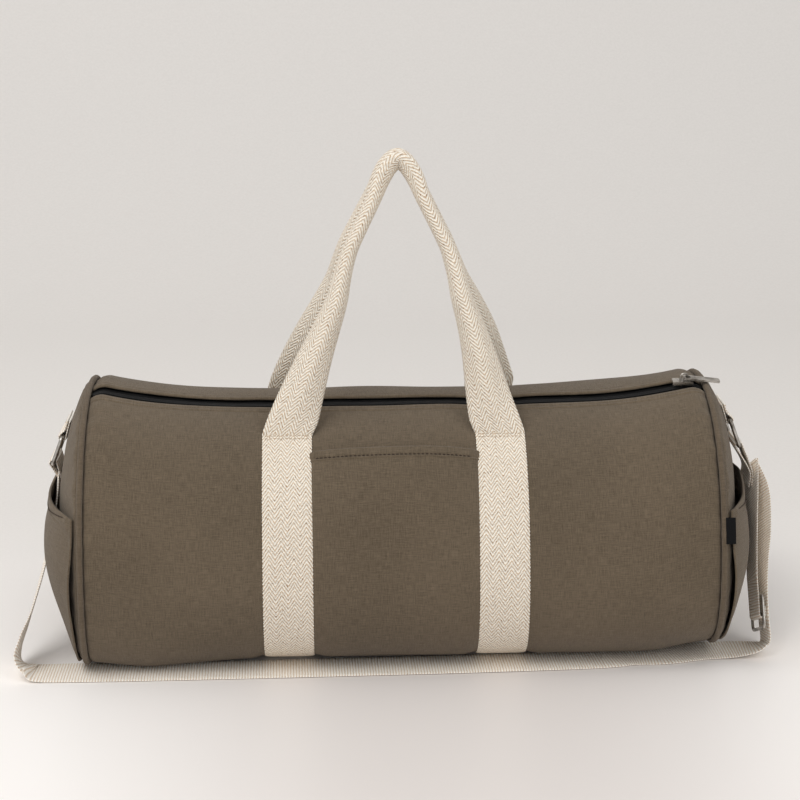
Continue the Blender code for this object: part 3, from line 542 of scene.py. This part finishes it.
def relief(x, turn, height):
    """How far the cloth stands off its even shape: slow waves, and gathers beside the end seams."""
    from_seam = half_length - np.abs(x)
    free = smooth(height / 0.035) * smooth(from_seam / 0.02)
    t = turn * math.tau
    slow = (0.75 * np.sin(11.0 * x + 2.0 * t + 0.6) + 0.55 * np.sin(23.0 * x - 3.0 * t + 2.1)
            + 0.45 * np.sin(37.0 * x + 5.0 * t + 4.0) + 0.28 * np.sin(61.0 * x - 7.0 * t + 1.2))
    near_seam = np.exp(-(from_seam / 0.016) ** 2) * smooth(from_seam / 0.004)
    gathers = np.sin(t * 31 + 3.0 * np.sin(t * 3 + x)) * 0.5 + np.sin(t * 47 + 1.3) * 0.3
    band_pull = np.exp(-np.maximum(beyond_band(x), 0) / 0.01)
    above = smooth((height - 0.012) / 0.03)
    return (0.00085 * slow * free * (1 - 0.8 * band_pull) + 0.00075 * gathers * near_seam * above
            - 0.0006 * band_pull * above)


def bare_skin(x, turn):
    y, z = section(turn, x)
    base = skin_base(x)
    return stacked(x, y * half_depth, base + z * (skin_top(x) - base))


def skin_normal(x, turn, turn_step=1 / 252):
    along = bare_skin(x, turn + turn_step) - bare_skin(x, turn - turn_step)
    return unit(stacked(0.0, along[..., 2], -along[..., 1]))


def skin(x, turn, outward=0.0):
    x, turn = np.broadcast_arrays(x, turn)
    bare = bare_skin(x, turn)
    stand = outward + relief(x, turn, bare[..., 2])
    return bare + skin_normal(x, turn) * np.asarray(stand)[..., None]


def turn_at_height(height, x=0.0):
    turns = np.linspace(0.0, 0.42, 2000)
    z = bare_skin(np.full_like(turns, x), turns)[:, 2]
    return float(np.interp(-height, -z, turns))


def hem_fold(distance, width, ease, line, roll):
    """A doubled hem beside a free edge, with its sewn line pressed in and the edge rolled under."""
    inset, depth, line_width = line
    pressed = depth * np.exp(-((distance - width + inset) / line_width) ** 2)
    rolled = roll[0] * (1 - smooth(distance / roll[1]))
    return 0.0009 * (1 - smooth((distance - width) / ease)) - pressed - rolled


# Canvas body

hem_width, hem_line = 0.0065, 0.0016


def body_canvas():
    slot = zip_slot / 2 / perimeter
    reach = half_length - panel_edge
    x = np.linspace(-reach, reach, 252)
    whole = (1 - 2 * slot) * perimeter
    edge = np.linspace(0, 0.012, 16)[:-1]
    lengths = joined(edge, np.arange(0.012, whole - 0.012, 0.0024), whole - edge[::-1])
    grid_x, grid_turn = np.meshgrid(x, zip_turn + slot + lengths / perimeter, indexing="ij")
    from_edge = np.minimum(lengths, lengths[-1] - lengths)[None, :]
    hem = hem_fold(from_edge, hem_width, 0.0012, (hem_line, 0.0005, 0.0007), (0.0012, 0.0012))
    tuck = -0.0016 * (1 - smooth((reach - np.abs(x))[:, None] / 0.004))
    points = skin(grid_x, grid_turn, hem + tuck)
    slab("body_canvas", points, stacked(grid_x, lengths), cloth_wall, olive, "body_panel", True)
    line_x = np.linspace(-reach + 0.004, reach - 0.004, 400)
    for way, word in ways:
        at = np.full_like(line_x, zip_turn + way * (slot + (hem_width - hem_line) / perimeter))
        stitches("zip_topstitch_" + word, skin(line_x, at, 0.0005), skin_normal(line_x, at), brown_thread,
                 fine_stitch)


body_canvas()


# End panels and piping

panel_middle = 0.11
end_bulges = {-1: 0.0225, 1: 0.022}


def rim(side, turn):
    """The end seam's line, given for the right end: the left end's is mirrored."""
    return bare_skin(np.full_like(turn, side * half_length), turn) * (side, 1, 1)


def polar(y, z):
    return np.arctan2(-y, z - panel_middle), np.hypot(y, z - panel_middle)


def rim_reaches(side):
    angles, reaches = polar(*rim(side, np.linspace(0, 1, 721)).T[1:])
    return np.unwrap(angles), reaches


rims = {side: rim_reaches(side) for side in (-1, 1)}


def dome(side, share, angle):
    """How far the end panel stands out: a soft dome with slow waves and gathers by its seam."""
    share = np.clip(share, 0, 1)
    even = end_bulges[side] * (1 - share ** dome_power)
    waves = (0.001 * np.sin(2 * angle + side) + 0.0007 * np.sin(3 * angle + 1.4) * share
             + 0.0004 * np.sin(7 * angle + 0.5) * share)
    gathers = 0.0006 * np.sin(29 * angle + 2.0 * np.sin(3 * angle)) * np.exp(-((1 - share) / 0.13) ** 2)
    return even + (waves * smooth((1 - share) / 0.2) + gathers * smooth((1 - share) / 0.04))


def panel_face(side, y, z):
    angle, reach = polar(y, z)
    angles, reaches = rims[side]
    turned = angles[0] + np.mod(angle - angles[0], math.tau)
    return half_length + dome_edge + dome(side, reach / np.interp(turned, angles, reaches), angle)


def panel_skin(side, y, z, outward=0.0, step=piping_radius):
    """Points of the end panel, this far outward, and their normals."""
    y, z = np.broadcast_arrays(y, z)
    in_y = np.where(y > 0, -step, step)
    in_z = np.where(z > panel_middle, -step, step)
    face = panel_face(side, y, z)
    slope_y = (panel_face(side, y + in_y, z) - face) / in_y
    slope_z = (panel_face(side, y, z + in_z) - face) / in_z
    normal = unit(stacked(side, -slope_y, -slope_z))
    return stacked(side * face, y, z) + normal * np.asarray(outward)[..., None], normal


def end_panel(side, word):
    shares = joined(np.linspace(0.012, 0.88, 44), np.linspace(0.9, 1.0, 12))[:, None]
    rim_at = rim(side, np.linspace(0, 1, 241))
    y = shares * rim_at[None, :, 1]
    z = panel_middle + shares * (rim_at[None, :, 2] - panel_middle)
    tuck = 0.0014 * smooth((shares - 0.975) / 0.025)
    face = half_length + dome_edge + dome(side, np.broadcast_to(shares, y.shape), polar(y, z)[0])
    points = stacked(side * (face - tuck), y, z)
    slab(word + "_end_cloth", points, points[..., 1:], cloth_wall, olive, word + "_end_panel", side > 0)
    fan = joined(points[0], points[0].mean(0)[None])
    count = len(rim_at)
    faces = [(i, i + 1, count) if side > 0 else (i + 1, i, count) for i in range(count - 1)]
    made_mesh(word + "_end_cloth_middle", fan, faces, fan[:, 1:], olive)


def piping(side, word):
    turns = np.linspace(0, 1, 400)[:-1]
    x = np.full_like(turns, side * half_length)
    base = bare_skin(x, turns) + skin_normal(x, turns) * piping_stand
    base = respaced(joined(base, base[:1]), 0.002)
    round_cord = np.linspace(0, math.tau, len(base))
    wobble = 1 + 0.03 * np.sin(37 * round_cord) + 0.02 * np.sin(91 * round_cord + 1)
    radius = piping_radius * 1.05 * wobble[:-1]
    rings_mesh(word + "_piping_cord", *tube_rings(base[:-1], radius, 14, (side, 0, 0), True),
               piping_cloth, nodes=(word + "_piping", word + "_seam_binding"), closed=True)


for end in ends:
    end_panel(*end)
    piping(*end)


# Webbing bands and handles

band_top_turn = turn_at_height(band_top, band_centre(1))
band_top_turns = {1: band_top_turn, -1: 1 - band_top_turn}
band_stand, band_ruffle = gap + handle_thickness / 2, 0.0004
band_scallop, weave_pitch = 0.00022, 0.0026


def band(side, word):
    turns = np.linspace(band_top_turn, 1 - band_top_turn, 900)
    x = np.full_like(turns, band_centre(side))
    across = np.broadcast_to((1.0, 0, 0), (len(x), 3))
    rings, uv = ribbon_rings(skin(x, turns, band_stand + band_ruffle), across, skin_normal(x, turns),
                             handle_width / 2, handle_thickness, 18, band_scallop, weave_pitch)
    uv[..., 0] += side
    rings_mesh(word + "_band_webbing", rings, uv, cream, nodes=(word + "_band",))


for end in ends:
    band(*end)

handle_apex_height, handle_apex_depth, handle_sway = 0.4025, 0.0115, 0.006
# One leg from its foot: how far it is from the middle, and its rise, as shares
handle_shares = np.array((
    (1, -0.016), (1, 0), (0.962, 0.04), (0.924, 0.08), (0.855, 0.175), (0.781, 0.274),
    (0.69, 0.38), (0.59, 0.491), (0.535, 0.58), (0.468, 0.666), (0.35, 0.765), (0.23, 0.862),
    (0.165, 0.925), (0.108, 0.966), (0.052, 0.991), (0, 1)))
fold_angle, curl_angle, roll_angle = map(math.radians, (42, 88, 34))
crease_share, fold_start, fold_full, roll_start = 0.3, 0.05, 0.72, 0.84


def folded_line(width, fold, curl, count=24):
    """The webbing's middle line across its width, creased in the middle with its edges curling in behind."""
    part = width / count
    shares = (np.arange(count // 2) + 0.5) / (count // 2)
    angles = fold * np.sin(math.pi / 2 * np.minimum(shares / crease_share, 1.0)) + curl * shares
    out = joined([0.0], np.cumsum(-part * np.sin(angles)))
    across = joined([0.0], np.cumsum(part * np.cos(angles)))
    return stacked(joined(out[:0:-1], out), joined(-across[:0:-1], across))


def handle(front, word):
    foot = skin(band_centre(1), band_top_turns[front], band_stand + band_ruffle)
    rise_way = np.array((0.0, -front * handle_apex_depth - foot[1], handle_apex_height - foot[2]))
    leg = foot + rise_way * handle_shares[:, 1:]
    leg[:, 0] = handle_shares[:, 0] * band_spacing / 2
    line = curve_through(joined(leg * (-1, 1, 1), leg[-2::-1]) + (band_shift, 0, 0), 24)
    line = respaced(line, 0.0011)
    rise = rise_way / np.linalg.norm(rise_way)
    plane_normal = np.array((0, -rise[2], rise[1]))
    share = (line - foot) @ rise / (handle_apex_height - foot[2])
    line[:, 0] += handle_sway * smooth(share / 0.5)
    if front < 0:
        splay = 0.0035 + 0.0045 * np.sign(line[:, 0] - band_shift)
        line[:, 0] += splay * smooth(share / 0.06) * (1 - smooth((share - 0.2) / 0.5))
    upright = np.where(np.arange(len(line)) < len(line) / 2, 2, -2) * (1 - smooth(share / 0.1))
    along = unit(unit(np.gradient(line, axis=0)) + upright[:, None] * rise)
    folding = np.clip((share - fold_start) / (fold_full - fold_start), 0, 1) ** 0.62
    soft = np.hanning(25)
    folding = np.convolve(np.pad(folding, 12, "edge"), soft / soft.sum(), "valid")
    swing = smooth((share - roll_start) / (1 - roll_start)) * roll_angle
    rings, uvs = [], []
    length = reach_along(line)
    for i, centre in enumerate(line):
        pairs = folded_line(handle_width, fold_angle * folding[i], curl_angle * folding[i])
        pairs = pairs - (pairs.max(0) + pairs.min(0)) / 2
        side_way = unit(np.cross(along[i], plane_normal))
        if side_way @ np.cross(along[i], (0, 1, 0)) < 0:
            side_way = -side_way
        sine, cosine = math.sin(swing[i]), math.cos(swing[i])
        out = plane_normal * cosine + side_way * sine
        across = side_way * cosine - plane_normal * sine
        tangent = unit(np.gradient(pairs, axis=0))
        s = np.linspace(-1, 1, len(pairs))
        half = handle_thickness / 2 * (1 - 0.7 * np.abs(s) ** 12)
        normal = stacked(tangent[:, 1], -tangent[:, 0]) * half[:, None]
        scallop = band_scallop * math.sin(math.tau * length[i] / weave_pitch) * np.abs(s) ** 6 * np.sign(s)
        edge = pairs + tangent * scallop[:, None]
        ring = joined(edge + normal, (edge - normal)[::-1])
        rings.append(centre + ring[:, :1] * out + ring[:, 1:] * across)
        u = s * handle_width / 2
        uvs.append(stacked(joined(u, u[::-1]), length[i]))
    body = word + "_handle"
    obj = rings_mesh(body + "_webbing", np.array(rings), np.array(uvs), cream, None, (body,))
    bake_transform(obj)


for way in ways:
    handle(*way)


def band_sewing(side, side_word, way, word):
    """Sewn lines where a handle leaves its band."""
    x = band_centre(side) + np.linspace(-0.0185, 0.0185, 30)
    for k, drop in enumerate((0.0016, 0.0046)):
        at = np.full_like(x, band_top_turns[way] + way * drop / perimeter)
        centre = skin(band_centre(side), at, 2 * band_stand + band_ruffle)
        centre[:, 0] = x
        stitches(f"{side_word}_{word}_band_sewing_{k}", centre, skin_normal(x, at), cream_thread,
                 band_stitch)


for end in ends:
    for way in ways:
        band_sewing(*end, *way)


# Zip

tape_top, tape_wall, tape_width = -0.0025, 0.0008, 0.0135
coil_height, coil_width, coil_split, coil_pitch = 0.0018, 0.0024, 0.0012, 0.0014
zip_reach = half_length - panel_edge


def zip_tape(way, word):
    x = np.linspace(-zip_reach, zip_reach, 240)
    grid_x, across = np.meshgrid(x, np.linspace(coil_split / 2, tape_width, 12), indexing="ij")
    ripple = 0.00018 * np.sin(grid_x * 190 + way) * smooth((across - 0.003) / 0.005)
    points = skin(grid_x, zip_turn + way * across / perimeter, tape_top + ripple)
    slab("zip_tape_cloth_" + word, points, stacked(across, grid_x), tape_wall, black_tape,
         "zip_tape_" + word, way > 0)


def zip_coil(way, word, sides=10):
    x = np.arange(-zip_reach, zip_reach, coil_pitch / 6)
    phase = math.tau * x / coil_pitch + (0 if way > 0 else math.pi)
    turn = zip_turn + way * ((coil_split + coil_width) / 2 - 0.0004) / perimeter
    centres = skin(x, turn, tape_top + gap + coil_height / 2)
    normals = skin_normal(x, np.full_like(x, turn))
    grow = 0.8 + 0.2 * np.sqrt(np.abs(np.sin(phase / 2)))
    rings = oval_rings(centres, np.cross(normals, (1.0, 0, 0)), normals,
                       coil_width / 2 * (0.92 + 0.16 * grow), coil_height / 2 * grow, sides)
    u = np.arange(sides) * math.tau / sides * 0.001
    uv = stacked(u[None, :], x[:, None])
    rings_mesh("zip_coil_teeth_" + word, rings, uv, black_coil, nodes=("zip_coil_" + word,))


for way in ways:
    zip_tape(*way)
    zip_coil(*way)


# Pockets

pocket_wall, pocket_gap = 0.0015, 0.0006
front_pocket_top, front_pocket_base, front_pocket_gape = 0.175, 0.012, 0.0062
end_pocket_top, end_pocket_gape, end_pocket_base_rise, end_pocket_gap = 0.134, 0.006, 0.012, 0.001
pocket_hem, pocket_line = 0.0085, 0.0014
pocket_bellies, belly_height = {-1: 0.0065, 1: 0.006}, 0.086


def mouth_bow(across):
    return 1 - (2 * across - 1) ** 4


def pocket_fold(down):
    return hem_fold(down, pocket_hem, 0.0011, (pocket_line, 0.0006, 0.0009), (0.0007, 0.001))


def mouth_sewing(name, points, normals):
    stitches(name, points + normals * 0.0003, normals, brown_thread, bold_stitch)


def front_pocket():
    edge = handle_width / 2 - 0.004
    left, right = band_centre(-1) + edge, band_centre(1) - edge
    top = turn_at_height(front_pocket_top)
    depth = (turn_at_height(front_pocket_base) - top) * perimeter
    lengths = joined(np.linspace(0, 0.012, 26)[:-1], np.linspace(0.012, depth, 80))
    across, down = np.meshgrid(np.linspace(0, 1, 110), lengths, indexing="ij")
    x = left + (right - left) * across
    lift = 0.0008 * (1 - (2 * across - 1) ** 2) * (1 - smooth(down / depth))
    turn = top + (down - lift) / perimeter
    gape = front_pocket_gape * smooth(1 - down / depth) + 0.0005 * np.sin(x * 55 + down * 30)
    from_side = np.minimum(across, 1 - across) * (right - left)
    under_band = -0.0012 * (1 - smooth((from_side - 0.003) / 0.003))
    stand = pocket_gap + pocket_wall + gape * mouth_bow(across) + under_band + pocket_fold(down)
    points = skin(x, turn, stand)
    slab("front_pocket_cloth", points, stacked(x, down), pocket_wall, olive, "front_pocket")
    row = slice(5, -5), np.abs(lengths - pocket_hem + pocket_line).argmin()
    mouth_sewing("front_pocket_hem_sewing", points[row], skin_normal(x[row], turn[row]))


def end_pocket(side, word):
    top_turn, side_turn = (turn_at_height(height, side * half_length)
                           for height in (end_pocket_top, end_pocket_top - end_pocket_base_rise))
    corner = rim(side, np.array([top_turn]))[0]
    inset = 1 - 0.0008 / np.linalg.norm(corner)
    across = np.linspace(0, 1, 130)[:, None]
    down = joined(np.linspace(0, 0.13, 28)[:-1], np.linspace(0.13, 1, 60))
    foot = rim(side, side_turn + (1 - 2 * side_turn) * across)
    y = (corner[1] * (1 - 2 * across) * (1 - down) + foot[..., 1] * down) * inset
    z = corner[2] * (1 - down) + foot[..., 2] * down
    z = panel_middle + (z - panel_middle) * inset
    belly = pocket_bellies[side] * np.exp(-((z - belly_height) / 0.038) ** 2) * smooth(down / 0.2)
    gape = (end_pocket_gape + 0.0007 * np.sin(across * 14 + side)) * smooth(1 - down)
    deep = np.abs(corner[2] - foot[..., 2]) * down
    beside_rim = np.minimum(across, 1 - across) * 0.2 <= 0.004
    folds = pocket_fold(np.where(beside_rim, 0.02 + deep, deep))
    stand = end_pocket_gap + pocket_wall + mouth_bow(across) * (gape + belly) + folds
    points, normals = panel_skin(side, y, z, stand)
    node = word + "_end_pocket"
    slab(node + "_cloth", points, stacked(y, z), pocket_wall, olive, node, side > 0, normals)
    row = slice(6, -6), np.abs(deep[len(across) // 2] - pocket_hem + pocket_line).argmin()
    mouth_sewing(node + "_cloth_hem_sewing", points[row], normals[row])


front_pocket()
for end in ends:
    end_pocket(*end)


# Ring tabs, rings and the webbing on them

ring_wire, ring_clear, ring_drop, ring_corner = 0.00175, 0.038, 0.024, 0.003
ring_lean, ring_heights = math.radians(21), {-1: 0.172, 1: 0.18}
tab_length, tab_width = 0.014, 0.034
strap_pivot, strap_planes, strap_end_foot = 0.136, {-1: 0.287, 1: 0.303}, 0.014
strap_half = strap_width / 2
layer = strap_thickness + gap
under_tab = gap + strap_thickness / 2
round_wire = ring_wire + under_tab
flat_scallop, strap_scallop = 0.00018, 0.0002


def tab_bar(side):
    """The middle of the ring's bar in its tab, and the tab's way outward."""
    surface, normal = panel_skin(side, 0.0, ring_heights[side])
    return surface + normal * (under_tab + round_wire), normal


def half_turn(centre, start, way, radius, count=14):
    angles = np.linspace(0, math.pi, count)[:, None]
    return centre + (start * np.cos(angles) + way * np.sin(angles)) * radius


def flat_webbing(name, line, half_width, node, body="bag"):
    """Webbing whose width runs across the bag, along a line."""
    line = respaced(line, 0.0005)
    along = unit(np.gradient(line, axis=0))
    across = square_to(np.broadcast_to((0.0, 1.0, 0.0), line.shape), along)
    ribbon = ribbon_rings(line, across, np.cross(along, across), half_width, strap_thickness, 14,
                          flat_scallop)
    return rings_mesh(name, *ribbon, strap_cream, body, (node,))


def ring_tab(side, word):
    bar_height = ring_heights[side]
    centre, normal = tab_bar(side)
    shares = np.arange(5, 0, -1) / 5
    wide = under_tab + 2 * round_wire
    over = wide + (under_tab + layer - wide) * smooth(2 * shares)
    outer, inner = (panel_skin(side, 0.0, bar_height + tab_length * shares, stand)[0]
                    for stand in (over, under_tab))
    down = np.array((side * normal[2], 0, -side * normal[0]))
    line = joined(outer, half_turn(centre, normal, down, round_wire), inner[::-1])
    name = word + "_ring_tab"
    flat_webbing(name + "_webbing", line, tab_width / 2, name)
    y = np.linspace(-0.015, 0.015, 30)
    for k, rise in enumerate((0.0115, 0.006)):
        point, way = panel_skin(side, 0.0, bar_height + rise, 2 * layer + 0.0002)
        seam = stacked(point[0], y, point[2])
        stitches(f"{name}_webbing_sewing_{k}", seam, np.broadcast_to(way, seam.shape), cream_thread,
                 tab_stitch)


def ring_down(side):
    return np.array((side * math.sin(ring_lean), 0, -math.cos(ring_lean)))


def rounded_outline(low_x, high_x, half_width, radius, steps=10):
    """A rectangle with round corners, in four arcs."""
    reach_x, reach_y = (high_x - low_x) / 2 - radius, half_width - radius
    found = []
    for quarter, (way_x, way_y) in enumerate(((1, 1), (-1, 1), (-1, -1), (1, -1))):
        angle = math.pi / 2 * (quarter + np.arange(steps + 1) / steps)
        found.append(stacked(way_x * reach_x + radius * np.cos(angle),
                             way_y * reach_y + radius * np.sin(angle)))
    return joined(*found) + ((low_x + high_x) / 2, 0)


def closed_wire(outline, centre, way_x, way_y):
    """An outline's points round the centre, evenly spaced."""
    line = centre + outline[:, :1] * way_x + outline[:, 1:] * way_y
    return respaced(joined(line, line[:1]), 0.0009)[:-1]


def wire_ring(side, word):
    outline = rounded_outline(0.0, ring_drop, ring_clear / 2 + ring_wire, ring_corner)
    across = np.array((0, 1.0, 0))
    line = closed_wire(outline, tab_bar(side)[0], ring_down(side), across)
    tube = tube_rings(line, ring_wire, 16, np.cross(ring_down(side), across), True)
    rings_mesh(word + "_ring_wire", *tube, nickel, word + "_ring", (word + "_ring",), closed=True)


def strap_end(side, word):
    bar = tab_bar(side)[0] + ring_down(side) * ring_drop
    out = np.array((side, 0.0, 0.0))
    knee = out * (strap_planes[side] - layer) + (0, 0, strap_pivot)
    foot = knee - (0, 0, strap_end_foot)
    hanging = unit(knee - out * (layer / 2) - bar)
    square = np.array((-side * hanging[2], 0, side * hanging[0]))
    fold = half_turn(bar, square, -hanging, round_wire)
    line = curve_through(joined([foot, knee], fold, [knee - out * layer, foot - out * layer]), 6)
    obj = flat_webbing(word + "_strap_loop", line, strap_half, word + "_strap_end", None)
    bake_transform(obj)


for end in ends:
    ring_tab(*end)
    wire_ring(*end)
    strap_end(*end)


# Shoulder strap and its adjuster

strap_floor_front, corner_reach = 0.106, 0.313
# From left to right: shares of the reach, of how far forward it lies and of its height, then the degrees
# it tips and turns
strap_route_shares = (
    (-0.917, 0, 1, 39, 8), (-0.924, 0.21, 0.79, 39, 12), (-0.945, 0.455, 0.535, 39, 15),
    (-0.975, 0.72, 0.285, 38, 13), (-0.995, 0.88, 0.16, 32, 6), (-0.996, 0.965, 0.08, 21, 0),
    (-0.968, 1.005, 0, 8, 0), (-0.915, 1.02, 0, 0, 0), (-0.6, 1.02, 0, 0, 0),
    (-0.2, 1, 0, 0, 0), (0.2, 0.97, 0, 0, 0), (0.5, 0.93, 0, 0, 0),
    (0.6, 0.88, 0, 0, 0), (0.69, 0.87, 0, 0, 0), (0.79, 0.8, 0, 0, 0),
    (0.88, 0.79, 0, 2, 0), (0.94, 0.8, 0, 10, 0), (0.968, 0.79, 0.06, 24, 0),
    (0.966, 0.74, 0.2, 28, 0), (0.966, 0.64, 0.34, 28, 2), (0.972, 0.5, 0.48, 28, 6),
    (0.984, 0.33, 0.64, 30, 11), (0.986, 0.14, 0.84, 32, 15), (0.962, 0, 1, 34, 12))
leg_length_share = 0.26
adjuster_height, inner_turn = 0.031, math.radians(10)
adjuster_thickness, adjuster_length, adjuster_clear = 0.0026, 0.03, 0.038
adjuster_bar, adjuster_wire, adjuster_corner = 0.0045, 0.0015, 0.004


def strap_route():
    """The strap's line, the way across its width and its normal, evenly spaced."""
    placed, leans = [], []
    for reach, front, height, *lean in strap_route_shares:
        tip, turn = map(math.radians, lean)
        resting = strap_thickness / 2 + strap_half * math.sin(tip)
        placed.append((reach * corner_reach, -front * strap_floor_front, max(height * strap_pivot, resting)))
        leans.append((tip, turn))
    line, lean = respaced(curve_through(placed, 40), 0.00046, curve_through(leans, 40))
    tip, turn = lean.T
    along = unit(np.gradient(line, axis=0))
    across = square_to(stacked(-np.sin(turn), np.cos(tip) * np.cos(turn), -np.sin(tip)), along)
    normals = np.cross(along, across)
    lowest = strap_half * np.abs(across[:, 2]) + strap_thickness / 2 * np.abs(normals[:, 2])
    line[:, 2] = np.maximum(line[:, 2], lowest)
    return line, across, normals


strap_line, strap_across, strap_normals = strap_route()


def shoulder_strap():
    rings, uv = ribbon_rings(strap_line, strap_across, strap_normals, strap_half, strap_thickness, 18,
                             strap_scallop)
    last = len(rings) - 1
    cuts = [round(share * last) for share in (0, leg_length_share, 1 - leg_length_share, 1)]
    for k, name in enumerate(("left_strap_leg", "strap_floor_run", "right_strap_leg")):
        part = slice(cuts[k], cuts[k + 1] + 1)
        on_floor = name == "strap_floor_run"
        obj = rings_mesh(name, rings[part], uv[part], strap_cream, None,
                         ("shoulder_strap",) if on_floor else ())
        if on_floor:
            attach(obj, "shoulder_strap")
        else:
            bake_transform(obj)


def adjuster_frame():
    """The adjuster's middle on the strap, and its ways up, across and inward."""
    half_way = len(strap_line) // 2
    at = half_way + int(np.argmax(strap_line[half_way:, 2] > adjuster_height))
    centre, across, inward = strap_line[at], strap_across[at], strap_normals[at]
    up = unit(np.cross(across, inward))
    up = up if up[2] > 0 else -up
    beside = np.linalg.norm(strap_line - centre, axis=1) < adjuster_length / 2
    bulge = max(float(((strap_line + strap_across * edge - centre) @ inward)[beside].max())
                for edge in (-strap_half, strap_half))
    stand = bulge + adjuster_thickness / 2 + 2 * gap + strap_thickness * 3 / 2
    return centre + inward * stand, up, across, inward


def adjuster():
    """A slide buckle: a rounded frame with a bar across its middle."""
    centre, up, across, inward = adjuster_frame()
    reach = adjuster_length / 2 - adjuster_wire
    outline = rounded_outline(-reach, reach, adjuster_clear / 2 + adjuster_wire, adjuster_corner)
    line = closed_wire(outline, centre, up, across)
    rings, uv = tube_rings(line, adjuster_wire, 12, inward, True)
    rings = rings - ((rings - centre) @ inward * 0.15)[..., None] * inward
    rings_mesh("strap_adjuster_frame", rings, uv, nickel, "shoulder_strap", ("strap_adjuster",), closed=True)
    bar = centre + np.linspace(-1, 1, 40)[:, None] * across * (adjuster_clear / 2 + 0.0012)
    rings_mesh("strap_adjuster_bar", *tube_rings(bar, adjuster_wire, 12, inward), nickel, "shoulder_strap")


def inner_leg():
    """The strap's sewn end, from the right ring down to its loop round the adjuster's bar."""
    centre, up, across, inward = adjuster_frame()
    side = adjuster_thickness / 2 + under_tab
    pivot = np.array((strap_planes[1], 0, strap_pivot))
    entry = [centre + inward * side + up * (adjuster_length * share) for share in (1.00, 0.62, 0.33)]
    above = entry[0]
    between = [pivot + (above - pivot) * reach for reach in (0.3, 0.6, 0.85)]
    falling = curve_through([pivot] + between + entry, 20)
    hook = half_turn(centre - up * (adjuster_bar / 2), inward, -up, side)
    line = joined(falling, [centre + inward * side], hook, [centre - inward * side + up * 0.004])
    line = respaced(line, 0.0005)
    along = unit(np.gradient(line, axis=0))
    share = smooth(np.linalg.norm(line - pivot, axis=1) / np.linalg.norm(above - pivot))[:, None]
    tip = math.atan2(pivot[1] - above[1], pivot[2] - above[2])
    turned = np.array((-math.sin(inner_turn), math.cos(tip) * math.cos(inner_turn), -math.sin(tip)))
    way = square_to(turned * (1 - share) + across * share, along)
    ribbon = ribbon_rings(line, way, np.cross(way, along), strap_half, strap_thickness, 14, flat_scallop)
    obj = rings_mesh("strap_sewn_end", *ribbon, strap_cream, None, ("strap_inner_leg",))
    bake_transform(obj)


shoulder_strap()
adjuster()
inner_leg()


# Side label, left blank

label_middle, label_half_height, label_width, label_wall = 0.119, 0.01, 0.009, 0.0009


def side_label():
    height = label_middle + label_half_height * np.linspace(1, -1, 40)
    across = np.linspace(0, 1, 14)
    turn = np.array([turn_at_height(z, half_length) for z in height])
    x = np.full_like(turn, half_length)
    normals = skin_normal(x, turn)[:, None, :]
    stand = pocket_gap + pocket_wall + gap + 0.001 + 0.0008 * across ** 2
    points = bare_skin(x, turn)[:, None, :] + normals * stand[None, :, None]
    points[..., 0] += panel_edge - 0.0022 + 0.0078 * across
    uv = stacked(across[None, :] * label_width, height[:, None])
    slab("side_label_cloth", points, uv, label_wall, label_cloth, "side_label", True)


side_label()

# The slider and the pull are the CAD's own, in the nickel made here
for kept in ("zip_slider", "zip_pull"):
    for material_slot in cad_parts[kept].material_slots:
        material_slot.material = nickel


# Floor, backdrop and lights

def studio():
    """A pale floor that rises into a backdrop in one curve, with painted light: lighter towards the camera,
    and a painted shadow in front of the bag's middle.
    """
    g = Graph("studio_paper")
    x, y = g.split(g.place())[:2]
    grain = g.noise(g.place(), 260.0, 3.0)
    # Painted light: the floor is painted lighter towards the camera than at the backdrop.
    painted_light_front = g.span(y, -0.02, 0.35, 1.0, 0.0, "SMOOTHSTEP")
    # Mask for the painted shadow on the floor in front of the bag's middle.
    middle = g.span(g.maths("ABSOLUTE", g.add(x, -0.04)), 0.05, 0.34, 1.0, 0.0, "SMOOTHSTEP")
    shade = g.mix(g.even(grain), (230, 227, 224), (234, 231, 228))
    shade = g.mix(painted_light_front, shade, (251, 248, 246))
    # Painted shadow: the floor is darker in front of the bag's middle.
    shade = g.mix(g.times(g.times(painted_light_front, middle), 0.85), shade, (222, 216, 213))
    g.bump(grain, 0.0001, 0.3)
    paper = g.finish(shade, 0.42, specular=0.35)
    front, back, radius, half_width, top = -2.6, 1.1, 0.9, 5.0, 3.2
    angles = np.linspace(0, math.pi / 2, 40)
    run_y = joined([front], back + radius * np.sin(angles), [back + radius])
    run_z = joined([0.0], radius * (1 - np.cos(angles)), [top])
    x = np.linspace(-half_width, half_width, 30)
    points = stacked(x[:, None], run_y, run_z)
    floor = made_mesh("studio", points, grid_faces(*points.shape[:2])[:, ::-1], points[..., :2], paper, None)


studio()


def area_light(name, place, size, power, colour):
    data = bpy.data.lights.new(name, "AREA")
    data.shape = "RECTANGLE"
    data.size, data.size_y = size
    data.energy = power
    data.color = colour
    look_from(bpy.data.objects.new(name, data), place, (0, 0, 0.1))


area_light("key", (-1.2, -0.9, 2.2), (1.8, 1.4), 28, (1.0, 0.98, 0.955))
area_light("fill", (1.6, -1.4, 1.5), (1.6, 1.6), 10, (1.0, 0.985, 0.965))

world = bpy.data.worlds.new("studio_light")
bpy.context.scene.world = world
world.use_nodes = True
sky = world.node_tree.nodes["Background"]
sky.inputs["Color"].default_value = (1.0, 0.992, 0.98, 1)
sky.inputs["Strength"].default_value = 0.64
